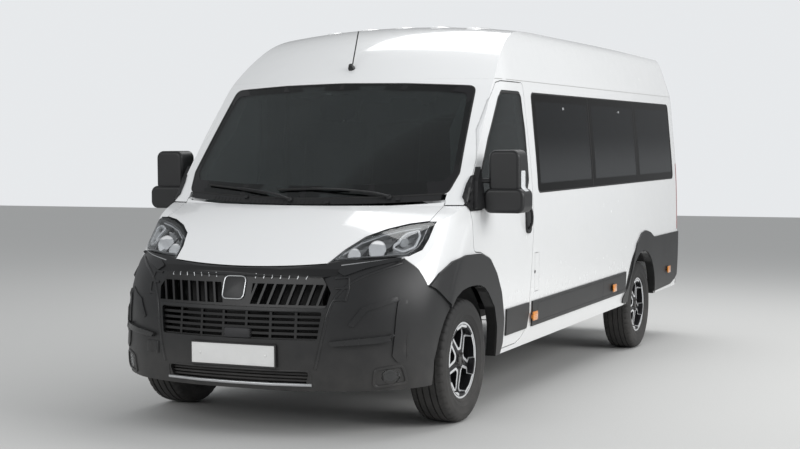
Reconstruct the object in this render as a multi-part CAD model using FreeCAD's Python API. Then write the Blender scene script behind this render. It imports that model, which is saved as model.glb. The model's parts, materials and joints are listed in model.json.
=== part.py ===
import FreeCAD, Part
import math
import os

# A long-wheelbase high-roof minibus with front-wheel drive.
# The body is modelled level, x to the vehicle's left, y rearwards from the front axle,
# z up from the ground under the front wheels. It is then raised at the rear by its rake.

# Overall sizes
WHEELBASE = 4035
FRONT_OVERHANG = 948
REAR_OVERHANG = 1380
HALF_WIDTH = 1016
CROWN_HEIGHT = 2425
TAIL_ROOF_HEIGHT = 2402
RAKE_DEGREES = 1.3
WALL = 55
GLASS = 5
TRIM_PROUD = 12
PANEL_GAP = 6
SEAT_GAP = 0.3
FINE_SHARE = 1000
OVERRUN = 400

# Wheels
TYRE_RADIUS = 360
TYRE_WIDTH = 225
FRONT_WHEEL_X = 888
REAR_WHEEL_X = 878
RIM_LIP_RADIUS = 221
RIM_BARREL_RADIUS = 196
RIM_WIDTH = 178
RIM_SHEET = 9
HUB_RADIUS = 60
SPOKE_COUNT = 5
SPOKE_DEPTH = 30
FACE_DOME = 18
OPENING_FOOT_RADIUS = 72
OPENING_HEAD_RADIUS = 196
OPENING_HALF_WIDTH = 74
OPENING_CORNER = 9
DISC_RADIUS = 150
DISC_THICK = 26
BORE_RADIUS = 32
SPINDLE_RADIUS = BORE_RADIUS - SEAT_GAP

# Floor and underbody
FLOOR_Z = 640
FLOOR_THICK = 40
RAIL_X = 470
RAIL_WIDTH = 72
RAIL_HEIGHT = 110
SPARE_AHEAD = 300

# Lines of the body shell
BODY_TAIL_INSET = 56
BODY_CORNER_RADIUS = 90
BODY_BOTTOM_Z = 255
SILL_BOTTOM_Z = 318
GUTTER_Z = 2018
NOSE_DEPTH = 1150
BONNET_NOSE_Y = -866
BONNET_NOSE_Z = 925
SCREEN_BASE_Y = -155
SCREEN_BASE_Z = 1258
SCREEN_TOP_Y = 476
SCREEN_TOP_Z = 2010
CROWN_START_Y = 1933
SCREEN_SWEEP = 200
BONNET_CROWN = 50
ROOF_CROWN = 79

# Front cab door and its glass
DOOR_FRONT_Y = 89
DOOR_REAR_Y = 1198
DOOR_SILL_Z = 352
DOOR_TOP_Z = 2004
DOOR_HINGE_X = 1007.5
DOOR_HINGE_Y = 105
DOOR_PIN_RADIUS = 3.5
DOOR_PIN_FOOT_Z = 965
DOOR_PIN_TOP_Z = 1060
DOOR_GLASS_FRONT_Y = 240
DOOR_GLASS_REAR_Y = 1144
DOOR_GLASS_SILL_Z = 1295
DOOR_GLASS_TOP_Z = 1950

# Side windows and the sliding door on the right
WINDOW_FRONT_Y = 1313
WINDOW_TAIL_MARGIN = 222
WINDOW_SILL_Z = 1287
WINDOW_TOP_Z = 1950
WINDOW_CORNER = 45
SLIDE_FRONT_Y = 1290
SLIDE_LENGTH = 1250
SLIDE_SILL_Z = 380
SLIDE_TOP_Z = 1990
SLIDE_CORNER = 70

# Wheel arches
ARCH_CENTRE_Y = 25
ARCH_HALF_WIDTH = 462
ARCH_TOP_Z = 790
ARCH_TRIM_TOP_Z = 976
REAR_ARCH_RADIUS = 450
LINER_RADIUS = 470
LINER_SHEET = 8
LINER_INNER_X = 546

# Nose
BONNET_LIP_Z = 948
BONNET_CORNER_X = 474
BONNET_CORNER_Z = 968
LAMP_TIP_X = 912
LAMP_TIP_Z = 1180
LAMP_LOW_Z = 980
BUMPER_SEAM_TOP_Y = -512
BUMPER_ARCH_Y = -272
BUMPER_ARCH_Z = 716
BUMPER_BOTTOM_Z = 282
GRILLE_HALF_WIDTH = 540
GRILLE_TOP_Z = 900
GRILLE_FOOT_Z = 734
INTAKE_HALF_WIDTH = 505
INTAKE_TOP_Z = 716
INTAKE_FOOT_Z = 562
PLATE_HALF_WIDTH = 262
PLATE_TOP_Z = 530
PLATE_FOOT_Z = 414
PLATE_THICK = 6
PLATE_STAND = 1
BADGE_HALF_WIDTH = 84
SLAT = 14
SLAT_COUNT = 5
DIVIDER_COUNT = 7
RIB_COUNT = 8
RIB_LEAN_SHARE = 0.8
GRILLE_THICK = 24
GRILLE_FOOT_BACK = 32
GRILLE_FOOT_END = 92
GRILLE_TOP_BACK = 92
GRILLE_TOP_END = 140
INTAKE_FOOT_BACK = 12
INTAKE_FOOT_END = 78
INTAKE_TOP_BACK = 28
INTAKE_TOP_END = 96
MOUTH_HALF_WIDTH = 440
MOUTH_TOP_Z = 388
MOUTH_FOOT_Z = 320
FOG_X = 832
FOG_Z = 359
FOG_RADIUS = 40
MARKER_HALF_LENGTH = 32
MARKER_HALF_HEIGHT = 11

# Windscreen
SCREEN_HALF_WIDTH = 905
SCREEN_FOOT_Z = 1292
SCREEN_HEAD_Z = 1998
SCREEN_ARCH = 26
COWL_RISE = 31

# Tail
TAIL_DOOR_HALF_WIDTH = 862
TAIL_DOOR_SILL_Z = 545
TAIL_DOOR_TOP_Z = 2190
TAIL_HINGE_OUT = 9
TAIL_HINGE_RADIUS = 8.5
TAIL_PIN_RADIUS = 5
TAIL_HINGE_HALF = 26
TAIL_HINGE_BRACKET = 16
TAIL_HINGE_HEIGHTS = (690, 1500, 1880)
TAIL_GLASS_SILL_Z = 1330
TAIL_GLASS_TOP_Z = 1960
TAIL_LAMP_FOOT_Z = 830
TAIL_LAMP_TOP_Z = 1420
TAIL_BUMPER_TOP_Z = 520
TAIL_BUMPER_FOOT_Z = 330

# Steering
BALL_JOINT_X = 800
BALL_JOINT_Z = 218
STRUT_TOP_X = 640
STRUT_TOP_Z = 880
STRUT_TUBE_RADIUS = 27
SPRING_RADIUS = 57
STEERING_WHEEL_X = 430
STEERING_WHEEL_Y = 560
STEERING_WHEEL_Z = 1175
STEERING_WHEEL_RADIUS = 195
STEERING_WHEEL_GRIP = 16
STEERING_WHEEL_TILT_DEGREES = 33

# Antenna on the dome
ANTENNA_Y = 588
ANTENNA_Z = 2094
ANTENNA_LENGTH = 246
ANTENNA_LEAN = 104
ANTENNA_RADIUS = 4
ANTENNA_FOOT_RADIUS = 22
ANTENNA_FOOT_HEIGHT = 34
ANTENNA_SLOPE_DEGREES = 36

# Socket of the towing eye in the front beam
TOW_EYE_X = -560
TOW_EYE_Z = 476
TOW_EYE_RADIUS = 11
TOW_EYE_WALL = 13
TOW_EYE_DEPTH = 60
TOW_EYE_HOLE_RADIUS = 26

# Door mirror and door handle
MIRROR_OUT_X = 1249
MIRROR_IN_X = 1056
MIRROR_TOP_Z = 1578
MIRROR_WAIST_Z = 1318
MIRROR_FRONT_Y = 232
MIRROR_DEPTH = 150
MIRROR_CORNER = 46
MIRROR_EDGE = 22
BULGE_OUT_X = 1283
BULGE_IN_X = 1030
BULGE_FOOT_Z = 1206
BULGE_TOP_Z = 1352
MIRROR_ARM_RADIUS = 15
MIRROR_FOOT_PROUD = 34
HANDLE_FRONT_Y = 1034
HANDLE_LENGTH = 96
HANDLE_FOOT_Z = 1036
HANDLE_TOP_Z = 1250
HANDLE_CORNER = 40

# Seats
SEAT_WIDTH = 470
SEAT_LENGTH = 480
SEAT_HEIGHT = 420
SEAT_BACK = 700
SEAT_SHELL = 90
CUSHION = 110
AISLE_HALF = 170
ROW_PITCH = 780
FIRST_ROW_Y = 1750

# Grab poles by the sliding door
POLE_RADIUS = 16
POLE_OUT_X = -866
POLE_IN_X = -692
POLE_Y = 1345
POLE_TOP_Z = 1990
POLE_BAR_TOP_Z = 1736
POLE_BAR_FOOT_Z = 1500

# Bonnet and fuel flap
BONNET_HINGE_Y = 20
BONNET_HINGE_Z = 1276
BONNET_PIN_RADIUS = 5
BONNET_PIN_DEPTH = 16
BONNET_LUG_WIDTH = 22
BONNET_HALF_WIDTH = 868
FLAP_FRONT_Y = 1216
FLAP_LENGTH = 92
FLAP_FOOT_Z = 645
FLAP_TOP_Z = 900
FLAP_POCKET = 42
FLAP_PIN_RADIUS = 3
FLAP_PIN_DEPTH = 9

# Ends of the vehicle in the level body
NOSE_Y = -FRONT_OVERHANG
TAIL_Y = WHEELBASE + REAR_OVERHANG
BODY_TAIL_Y = TAIL_Y - BODY_TAIL_INSET
SLIDE_REAR_Y = SLIDE_FRONT_Y + SLIDE_LENGTH
HUB_BACK_X = RIM_WIDTH / 2 - RIM_SHEET * 2 - SPOKE_DEPTH * 1.3
FAR = HALF_WIDTH + OVERRUN
MIDDLE_Y = (NOSE_Y + TAIL_Y) / 2
RAKE = math.radians(RAKE_DEGREES)
TAIL_HINGE_X = TAIL_DOOR_HALF_WIDTH + TAIL_HINGE_OUT
TAIL_HINGE_Y = BODY_TAIL_Y + TAIL_HINGE_OUT
FLAP_HINGE_X = HALF_WIDTH - GLASS * 1.2
FLAP_HINGE_Y = FLAP_FRONT_Y + FLAP_LENGTH - PANEL_GAP / 2 - GLASS
REAR_AXLE_Y = WHEELBASE * math.cos(RAKE)
REAR_AXLE_Z = TYRE_RADIUS - WHEELBASE * math.sin(RAKE)

# Plan outline of the nose: share of the half width, share of the nose depth
NOSE_SHARES = ((0.257, 0.014), (0.5, 0.085), (0.70, 0.20), (0.83, 0.345),
               (0.92, 0.49), (0.965, 0.62), (0.99, 0.80))

# Levels of the body: height, half width, setback of the nose, depth of the nose
LOW_LEVEL_SHARES = (
    (0.105, 0.970, 0.036, 0.587), (0.144, 0.982, 0.011, 0.609), (0.186, 0.990, 0.001, 0.643),
    (0.231, 0.995, 0.000, 0.679), (0.297, 0.999, 0.014, 0.696), (0.384, 1.000, 0.090, 0.735),
    (0.486, 0.996, 0.262, 0.765), (0.579, 0.985, 0.305, 0.948), (0.700, 0.960, 0.427, 1.026),
    (0.812, 0.935, 0.662, 1.013), (0.830, 0.930, 0.705, 1.000))
HIGH_LEVEL_SHARES = (
    (0.830, 0.930, 0.705, 1.000), (0.887, 0.888, 0.766, 1.000), (0.936, 0.848, 0.836, 1.000),
    (0.963, 0.815, 0.897, 0.991), (0.981, 0.763, 0.975, 0.974), (0.994, 0.679, 1.114, 0.913),
    (1.006, 0.551, 1.288, 0.870))

# Centre profile between its named points: share of the run, share of the rise
BONNET_SHARES = ((-0.42, -0.36), (0.0, 0.0), (0.45, 0.46))
SCREEN_SHARES = ((0.48, 0.50),)
DOME_SHARES = ((0.176, 0.439), (0.396, 0.807), (0.622, 0.959))
ROOF_SHARES = ((0.5, 0.98),)

# Outlines within named boxes: share of the length, share of the height
DOOR_SHARES = (
    (0.006, 0.384), (0.0, 0.522), (0.069, 0.636), (0.271, 0.814), (0.425, 0.925),
    (0.551, 0.992), (0.62, 1.0), (0.957, 1.0), (0.973, 0.985), (0.995, 0.695),
    (1.0, 0.544), (0.993, 0.414), (0.957, 0.271), (0.923, 0.142), (0.873, 0.044),
    (0.793, 0.014), (0.70, 0.0), (0.452, 0.0), (0.474, 0.023), (0.478, 0.115),
    (0.430, 0.212), (0.353, 0.287), (0.250, 0.350), (0.109, 0.378))
DOOR_GLASS_SHARES = (
    (0.0, 0.05), (0.04, 0.19), (0.235, 0.53), (0.41, 0.785), (0.51, 0.93), (0.575, 1.0),
    (0.935, 1.0), (0.965, 0.95), (1.0, 0.62), (0.995, 0.12), (0.95, 0.03), (0.5, 0.0),
    (0.04, 0.0))
ARCH_TRIM_SHARES = (
    (-0.79, 0.06), (-0.80, 0.24), (-0.76, 0.785), (-0.59, 0.885), (-0.35, 0.965),
    (-0.07, 1.0), (0.31, 0.99), (0.575, 0.925), (0.755, 0.79), (0.9, 0.61),
    (0.99, 0.37), (0.98, 0.15), (0.905, 0.03))
ARCH_SHARES = (
    (-1.0, -0.3), (-1.0, 0.14), (-0.885, 0.42), (-0.775, 0.61), (-0.65, 0.77), (-0.50, 0.90),
    (-0.30, 0.975), (-0.09, 1.0), (0.16, 1.0), (0.34, 0.98), (0.50, 0.93), (0.625, 0.85),
    (0.87, 0.62), (0.98, 0.34), (1.0, 0.02), (1.0, -0.3))
REAR_TRIM_SHARES = (
    (0.0, 0.0), (0.095, 0.19), (0.155, 0.42), (0.182, 0.58), (0.238, 0.84), (0.307, 0.97),
    (0.377, 1.0), (0.455, 0.955), (0.52, 0.87), (0.98, 0.865), (1.0, 0.84), (1.0, 0.2),
    (0.93, 0.08), (0.85, 0.02), (0.52, 0.0))
BONNET_SIDE_SHARES = ((0.02, 0.0), (0.11, 0.30), (0.27, 0.62), (0.50, 0.81), (0.76, 0.94),
                      (1.0, 1.0))
BUMPER_SEAM_SHARES = ((1.0, 0.0), (0.38, 0.39), (0.22, 0.46), (0.14, 0.80), (0.0, 1.0))
LAMP_LOW_SHARES = ((1.0, 0.88), (0.99, 0.52), (0.965, 0.25), (0.86, 0.10), (0.60, 0.07),
                   (0.30, 0.05), (0.08, 0.02))


def vec(x, y, z):
    return FreeCAD.Vector(x, y, z)


def mirrored(shape):
    """The same shape on the other side of the vehicle."""
    return shape.mirror(vec(0, 0, 0), vec(1, 0, 0))


def pair(shape):
    """One compound with the shape and its mirror image."""
    return Part.makeCompound([shape, mirrored(shape)])


def joined(shapes):
    """The union of a list of solids that meet, without leftover seams."""
    shapes = list(shapes)
    result = shapes[0]
    if len(shapes) > 1:
        result = result.multiFuse(shapes[1:])
    return result.removeSplitter()


def box(x0, x1, y0, y1, z0, z1):
    """A block between two x, two y and two z values."""
    low = vec(min(x0, x1), min(y0, y1), min(z0, z1))
    return Part.makeBox(abs(x1 - x0), abs(y1 - y0), abs(z1 - z0), low)


def rod(radius, start, end):
    """A round bar between two points."""
    run = end - start
    return Part.makeCylinder(radius, run.Length, start, run)


def ring(outer, inner, start, end):
    """A round tube between two points."""
    return rod(outer, start, end).cut(rod(inner, start, end))


def scaled_outline(a0, a1, b0, b1, shares):
    """Points of a table of shares placed in the box from a0, b0 to a1, b1."""
    return [(a0 + (a1 - a0) * s, b0 + (b1 - b0) * t) for s, t in shares]


def corner_cut(before, corner, after, radius):
    """Ends and middle of the arc that rounds one corner of an outline."""
    to_before = before - corner
    to_after = after - corner
    angle = to_before.getAngle(to_after)
    reach = radius / math.tan(angle / 2)
    reach = min(reach, to_before.Length * 0.45, to_after.Length * 0.45)
    arc_radius = reach * math.tan(angle / 2)
    to_before.normalize()
    to_after.normalize()
    bisector = to_before + to_after
    bisector.normalize()
    depth = arc_radius / math.sin(angle / 2) - arc_radius
    return corner + to_before * reach, corner + bisector * depth, corner + to_after * reach


def rounded_wire(points, radius):
    """A closed wire through the points, each corner rounded to the radius."""
    count = len(points)
    cuts = []
    for i, corner in enumerate(points):
        cuts.append(corner_cut(points[i - 1], corner, points[(i + 1) % count], radius))
    edges = []
    for i, (start, middle, end) in enumerate(cuts):
        edges.append(Part.Arc(start, middle, end).toShape())
        edges.append(Part.LineSegment(end, cuts[(i + 1) % count][0]).toShape())
    return Part.Wire(edges)


def arc_wire(points, middles):
    """A closed wire of lines, and of arcs where a point is marked as an arc's middle."""
    edges = []
    count = len(points)
    for i in range(count):
        after = (i + 1) % count
        if middles[i]:
            continue
        if middles[after]:
            edges.append(Part.Arc(points[i], points[after], points[(i + 2) % count]).toShape())
        else:
            edges.append(line(points[i], points[after]))
    return Part.Wire(edges)


def prism(outline, at, radius, sweep, grow=0):
    """A straight block with the outline, its long edges rounded, along the sweep vector."""
    points = [at(*point[:2]) for point in outline]
    middles = [len(point) > 2 for point in outline]
    if radius and not any(middles):
        face = Part.Face(rounded_wire(points, radius))
        if grow:
            face = face.makeOffset2D(grow)
        return face.extrude(sweep)
    block = Part.Face(arc_wire(points, middles)).extrude(sweep)
    if radius:
        corners = [edge for edge in block.Edges if is_along(edge, sweep)]
        block = block.makeFillet(radius, corners)
    return block


def is_along(edge, sweep):
    """Whether an edge is a straight line along the sweep vector."""
    run = edge.lastVertex().Point - edge.firstVertex().Point
    return run.cross(sweep).Length < run.Length * sweep.Length / FINE_SHARE


def side_prism(outline, x0, x1, radius=0, grow=0):
    """A block seen from the side: outline of y, z pairs, from x0 to x1."""
    return prism(outline, lambda y, z: vec(x0, y, z), radius, vec(x1 - x0, 0, 0), grow)


def front_prism(outline, y0, y1, radius=0):
    """A block seen from the front: outline of x, z pairs, from y0 to y1."""
    return prism(outline, lambda x, z: vec(x, y0, z), radius, vec(0, y1 - y0, 0))


def plan_prism(outline, z0, z1, radius=0):
    """A block seen from above: outline of x, y pairs, from z0 to z1."""
    return prism(outline, lambda x, y: vec(x, y, z0), radius, vec(0, 0, z1 - z0))


def symmetric(outline):
    """An outline of x, z pairs on the left closed by its mirror image."""
    return outline + [(-x, z) for x, z in reversed(outline)]


def chord_shares(points):
    """Where each point lies along the run of chords through them, from 0 to 1."""
    reached = [0]
    for before, after in zip(points, points[1:]):
        reached.append(reached[-1] + (after - before).Length)
    return [length / reached[-1] for length in reached]


def spline(points, shares):
    """A smooth curve through the points; like curves get the same shares, so they loft well."""
    curve = Part.BSplineCurve()
    curve.interpolate(Points=points, Parameters=shares)
    return curve.toShape()


def line(start, end):
    return Part.LineSegment(start, end).toShape()


# The closed form of the body

def nose_points(level, inset):
    """Points round the nose at one level, from the right shoulder to the left one."""
    z_share, width_share, setback_share, depth_share = level
    z = CROWN_HEIGHT * z_share
    half = HALF_WIDTH * width_share - inset
    tip = NOSE_Y + NOSE_DEPTH * setback_share + inset
    depth = NOSE_DEPTH * depth_share
    left = [vec(half * a, tip + depth * b, z) for a, b in NOSE_SHARES]
    left.append(vec(half, tip + depth, z))
    right = [vec(-p.x, p.y, z) for p in reversed(left)]
    return right + [vec(0, tip, z)] + left


def level_wire(level, inset):
    """The plan outline of the body at one level."""
    points = nose_points(level, inset)
    nose = Part.BSplineCurve()
    nose.interpolate(Points=points, Parameters=chord_shares(nose_points(LOW_LEVEL_SHARES[0], 0)),
                     InitialTangent=vec(0, -1, 0), FinalTangent=vec(0, 1, 0))
    half, shoulder, z = points[-1]
    tail = BODY_TAIL_Y - inset
    radius = max(BODY_CORNER_RADIUS - inset, WALL / 3)
    cut = radius * (1 - math.sqrt(0.5))
    edges = [nose.toShape()]
    edges.append(line(vec(half, shoulder, z), vec(half, tail - radius, z)))
    edges.append(Part.Arc(vec(half, tail - radius, z), vec(half - cut, tail - cut, z),
                          vec(half - radius, tail, z)).toShape())
    edges.append(line(vec(half - radius, tail, z), vec(radius - half, tail, z)))
    edges.append(Part.Arc(vec(radius - half, tail, z), vec(cut - half, tail - cut, z),
                          vec(-half, tail - radius, z)).toShape())
    edges.append(line(vec(-half, tail - radius, z), vec(-half, shoulder, z)))
    return Part.Wire(edges)


def profile_runs(x, inset):
    """The runs of bonnet, windscreen, dome and roof and the closing lines at one x."""
    share = (x / HALF_WIDTH) ** 2
    sweep = SCREEN_SWEEP * share
    bonnet_drop = BONNET_CROWN * share
    roof_drop = ROOF_CROWN * share
    run = SCREEN_BASE_Y - BONNET_NOSE_Y
    rise = SCREEN_BASE_Z - BONNET_NOSE_Z
    bonnet = [vec(x, BONNET_NOSE_Y + run * a, BONNET_NOSE_Z + rise * b - bonnet_drop - inset)
              for a, b in BONNET_SHARES]
    base = vec(x, SCREEN_BASE_Y + sweep + inset / 3, SCREEN_BASE_Z - inset)
    top = vec(x, SCREEN_TOP_Y + sweep + inset * 0.7, SCREEN_TOP_Z - roof_drop / 2 - inset * 0.7)
    screen = [vec(x, base.y + (top.y - base.y) * a, base.z + (top.z - base.z) * b)
              for a, b in SCREEN_SHARES]
    crown = vec(x, CROWN_START_Y, CROWN_HEIGHT - roof_drop - inset)
    tail = vec(x, TAIL_Y + OVERRUN, TAIL_ROOF_HEIGHT - roof_drop - inset)
    dome = [vec(x, top.y + (crown.y - top.y) * a, top.z + (crown.z - top.z) * b)
            for a, b in DOME_SHARES]
    roof = [vec(x, crown.y + (tail.y - crown.y) * a, tail.z + (crown.z - tail.z) * b)
            for a, b in ROOF_SHARES]
    foot_tail = vec(x, tail.y, BODY_BOTTOM_Z - OVERRUN)
    foot_nose = vec(x, bonnet[0].y, foot_tail.z)
    return [bonnet + [base], [base] + screen + [top], [top] + dome + [crown] + roof + [tail],
            [tail, foot_tail], [foot_tail, foot_nose], [foot_nose, bonnet[0]]]


def profile_wire(x, inset):
    """The closed profile wire in one plane of constant x."""
    edges = []
    for points, middle_points in zip(profile_runs(x, inset), profile_runs(0, 0)):
        edges.append(spline(points, chord_shares(middle_points)))
    return Part.Wire(edges)


def body_form(inset):
    """The closed outer form of the body, shrunk all round by the inset."""
    low = Part.makeLoft([level_wire(level, inset) for level in LOW_LEVEL_SHARES], True)
    high = Part.makeLoft([level_wire(level, inset) for level in HIGH_LEVEL_SHARES], True)
    reach = HALF_WIDTH + WALL
    stations = (-reach, -reach / 2, 0, reach / 2, reach)
    over = Part.makeLoft([profile_wire(x, inset) for x in stations], True)
    return low.fuse(high).common(over)


class Forms:
    """The body form at the insets that the pieces share."""

    def __init__(self):
        self.outer = body_form(0)
        self.inner = body_form(WALL)
        self.glass = body_form(GLASS)
        self.proud = body_form(-TRIM_PROUD)
        self.shell = self.outer.cut(self.inner)
        self.pane = self.outer.cut(self.glass)
        self.trim = self.proud.cut(self.outer)


def above(z):
    return box(-FAR, FAR, NOSE_Y - OVERRUN, TAIL_Y + OVERRUN, z, CROWN_HEIGHT + OVERRUN)


def below(z):
    return box(-FAR, FAR, NOSE_Y - OVERRUN, TAIL_Y + OVERRUN, BODY_BOTTOM_Z - OVERRUN, z)


# Openings seen from the side, each from inside the body to outside it

def door_prism(gap):
    """The cab door's opening, grown by the gap."""
    outline = scaled_outline(DOOR_FRONT_Y, DOOR_REAR_Y, DOOR_SILL_Z, DOOR_TOP_Z, DOOR_SHARES)
    return side_prism(outline, HALF_WIDTH / 2, FAR, WINDOW_CORNER, gap)


def door_glass_prism(gap):
    outline = scaled_outline(DOOR_GLASS_FRONT_Y, DOOR_GLASS_REAR_Y, DOOR_GLASS_SILL_Z,
                             DOOR_GLASS_TOP_Z, DOOR_GLASS_SHARES)
    return side_prism(outline, HALF_WIDTH / 2, FAR, WINDOW_CORNER, gap)


def window_prism(y0, y1, z0, z1, radius, gap):
    """A rectangular opening with round corners, grown by the gap."""
    outline = [(y0 - gap, z0 - gap), (y1 + gap, z0 - gap), (y1 + gap, z1 + gap),
               (y0 - gap, z1 + gap)]
    return side_prism(outline, HALF_WIDTH / 2, FAR, radius + gap)


def side_window_prism(gap):
    return window_prism(WINDOW_FRONT_Y, BODY_TAIL_Y - WINDOW_TAIL_MARGIN, WINDOW_SILL_Z,
                        WINDOW_TOP_Z, WINDOW_CORNER, gap)


def slide_prism(gap):
    return window_prism(SLIDE_FRONT_Y, SLIDE_REAR_Y, SLIDE_SILL_Z, SLIDE_TOP_Z,
                        SLIDE_CORNER, gap)


def arch_prism(gap):
    """The front wheel arch opening."""
    half = ARCH_HALF_WIDTH + gap
    outline = scaled_outline(ARCH_CENTRE_Y, ARCH_CENTRE_Y + half, TYRE_RADIUS,
                             ARCH_TOP_Z + gap, ARCH_SHARES)
    return side_prism(outline, LINER_INNER_X, FAR, WALL)


def arch_trim_prism():
    """The outer outline of the front arch trim."""
    rear = DOOR_FRONT_Y + (DOOR_REAR_Y - DOOR_FRONT_Y) * 0.478 - PANEL_GAP
    outline = scaled_outline(0, rear, BUMPER_BOTTOM_Z, ARCH_TRIM_TOP_Z, ARCH_TRIM_SHARES)
    return side_prism(outline, HALF_WIDTH / 2, FAR, WALL)


def rear_arch_prism(grow):
    """The rear wheel opening, a cylinder about the rear axle."""
    centre = vec(HALF_WIDTH / 2, REAR_AXLE_Y, REAR_AXLE_Z)
    return Part.makeCylinder(REAR_ARCH_RADIUS + grow, HALF_WIDTH, centre, vec(1, 0, 0))


def rear_trim_outline():
    return scaled_outline(REAR_AXLE_Y - REAR_ARCH_RADIUS * 1.48, BODY_TAIL_Y - WALL / 3,
                          BUMPER_BOTTOM_Z + WALL, ARCH_TRIM_TOP_Z - WALL * 1.7,
                          REAR_TRIM_SHARES)


# Openings seen from the front

def arc_outline(half, z, arch):
    """A shallow arc from x = half to x = -half, its middle marked."""
    return [(half, z - arch), (0, z, "middle"), (-half, z - arch)]


def screen_prism(gap):
    """The windscreen opening."""
    half = SCREEN_HALF_WIDTH + gap
    foot = arc_outline(half * 0.965, SCREEN_FOOT_Z - gap, -COWL_RISE)
    head = arc_outline(half * 0.932, SCREEN_HEAD_Z + gap, SCREEN_ARCH)
    side = [(half, (SCREEN_FOOT_Z + SCREEN_HEAD_Z) / 2 - SCREEN_SWEEP)]
    outline = list(reversed(foot)) + side + head + [(-x, z) for x, z in side]
    return front_prism(outline, NOSE_Y - OVERRUN, CROWN_START_Y / 2, WINDOW_CORNER)


def bonnet_rear(half, drop):
    """The rear edge of the bonnet, rising to its corners."""
    return arc_outline(half, SCREEN_FOOT_Z - COWL_RISE - PANEL_GAP - drop, -COWL_RISE * 0.9)


def bonnet_side(grow):
    """The edge between bonnet and headlamp, from the inner tip outwards."""
    return scaled_outline(BONNET_CORNER_X + grow, BONNET_HALF_WIDTH + grow,
                          BONNET_CORNER_Z - grow, LAMP_TIP_Z - grow, BONNET_SIDE_SHARES)


def bonnet_prism():
    lip = arc_outline(BONNET_CORNER_X, BONNET_LIP_Z, BONNET_LIP_Z - BONNET_CORNER_Z)
    side = bonnet_side(0)
    rear = bonnet_rear(BONNET_HALF_WIDTH, 0)
    outline = list(reversed(lip)) + side + rear + [(-x, z) for x, z in reversed(side)]
    return front_prism(outline, NOSE_Y - OVERRUN, BONNET_HINGE_Y, 0)


def lamp_outline(gap):
    top = bonnet_side(PANEL_GAP + gap)
    low = scaled_outline(BONNET_CORNER_X + PANEL_GAP, LAMP_TIP_X - gap, LAMP_LOW_Z + gap,
                         LAMP_TIP_Z, LAMP_LOW_SHARES)
    tip = [(LAMP_TIP_X - gap, LAMP_TIP_Z - PANEL_GAP - gap)]
    return top + tip + low


def lamp_prism(gap):
    return front_prism(lamp_outline(gap), NOSE_Y - OVERRUN, 0, 0)


def bumper_top_outline():
    """The upper edge of the bumper below bonnet and lamps, x from left to right."""
    low = scaled_outline(BONNET_CORNER_X, LAMP_TIP_X, LAMP_LOW_Z - PANEL_GAP,
                         LAMP_TIP_Z, LAMP_LOW_SHARES[2:])
    lip = arc_outline(BONNET_CORNER_X, BONNET_LIP_Z - PANEL_GAP,
                      BONNET_LIP_Z - BONNET_CORNER_Z)
    return low, lip


def bumper_front_prism():
    low, lip = bumper_top_outline()
    reach = [(FAR, low[0][1])]
    left = reach + low
    outline = left + lip + [(-x, z) for x, z in reversed(left)]
    foot = BODY_BOTTOM_Z - OVERRUN
    outline = outline + [(-FAR, foot), (FAR, foot)]
    return front_prism(outline, NOSE_Y - OVERRUN, 0, 0)


def bumper_side_prism(grow):
    """Everything ahead of the seam between bumper and wing."""
    seam = scaled_outline(BUMPER_SEAM_TOP_Y + grow, BUMPER_ARCH_Y + grow, BUMPER_ARCH_Z + grow,
                          LAMP_LOW_Z + grow, BUMPER_SEAM_SHARES)
    outline = [(NOSE_Y - OVERRUN, BODY_BOTTOM_Z - OVERRUN),
               (BUMPER_ARCH_Y + grow, BODY_BOTTOM_Z - OVERRUN)]
    outline = outline + seam + [(BUMPER_SEAM_TOP_Y + grow, LAMP_TIP_Z),
                                (NOSE_Y - OVERRUN, LAMP_TIP_Z)]
    return side_prism(outline, -FAR, FAR)


# Body panels

def roof_panel(forms):
    """Roof and dome above the gutter, with the header above the windscreen."""
    main = forms.shell.common(above(GUTTER_Z))
    header = box(-HALF_WIDTH / 2, HALF_WIDTH / 2, SCREEN_BASE_Y, CROWN_START_Y / 2,
                 SCREEN_HEAD_Z - SCREEN_ARCH * 2, GUTTER_Z)
    header = forms.shell.common(header).cut(screen_prism(0))
    whole = joined([main, largest(header)])
    tail = tail_door_prism(PANEL_GAP)
    return largest(whole.cut([tail, mirrored(tail), antenna_foot(SEAT_GAP)]))


def body_shell_below(forms):
    """The shell below the gutter, before it is split."""
    return forms.shell.common(box(-FAR, FAR, NOSE_Y - OVERRUN, TAIL_Y + OVERRUN, SILL_BOTTOM_Z,
                                  GUTTER_Z - SEAT_GAP))


def side_region(sign):
    """The part of the shell that belongs to one body side."""
    middle = TAIL_DOOR_HALF_WIDTH + PANEL_GAP
    inner = plan_prism([(middle, BODY_TAIL_Y + OVERRUN), (FAR, BODY_TAIL_Y + OVERRUN),
                        (FAR, SCREEN_BASE_Y), (HALF_WIDTH / 2, SCREEN_BASE_Y),
                        (HALF_WIDTH / 2, SLIDE_REAR_Y), (middle, SLIDE_REAR_Y + WALL)],
                       BODY_BOTTOM_Z, GUTTER_Z)
    return inner if sign > 0 else mirrored(inner)


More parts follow.
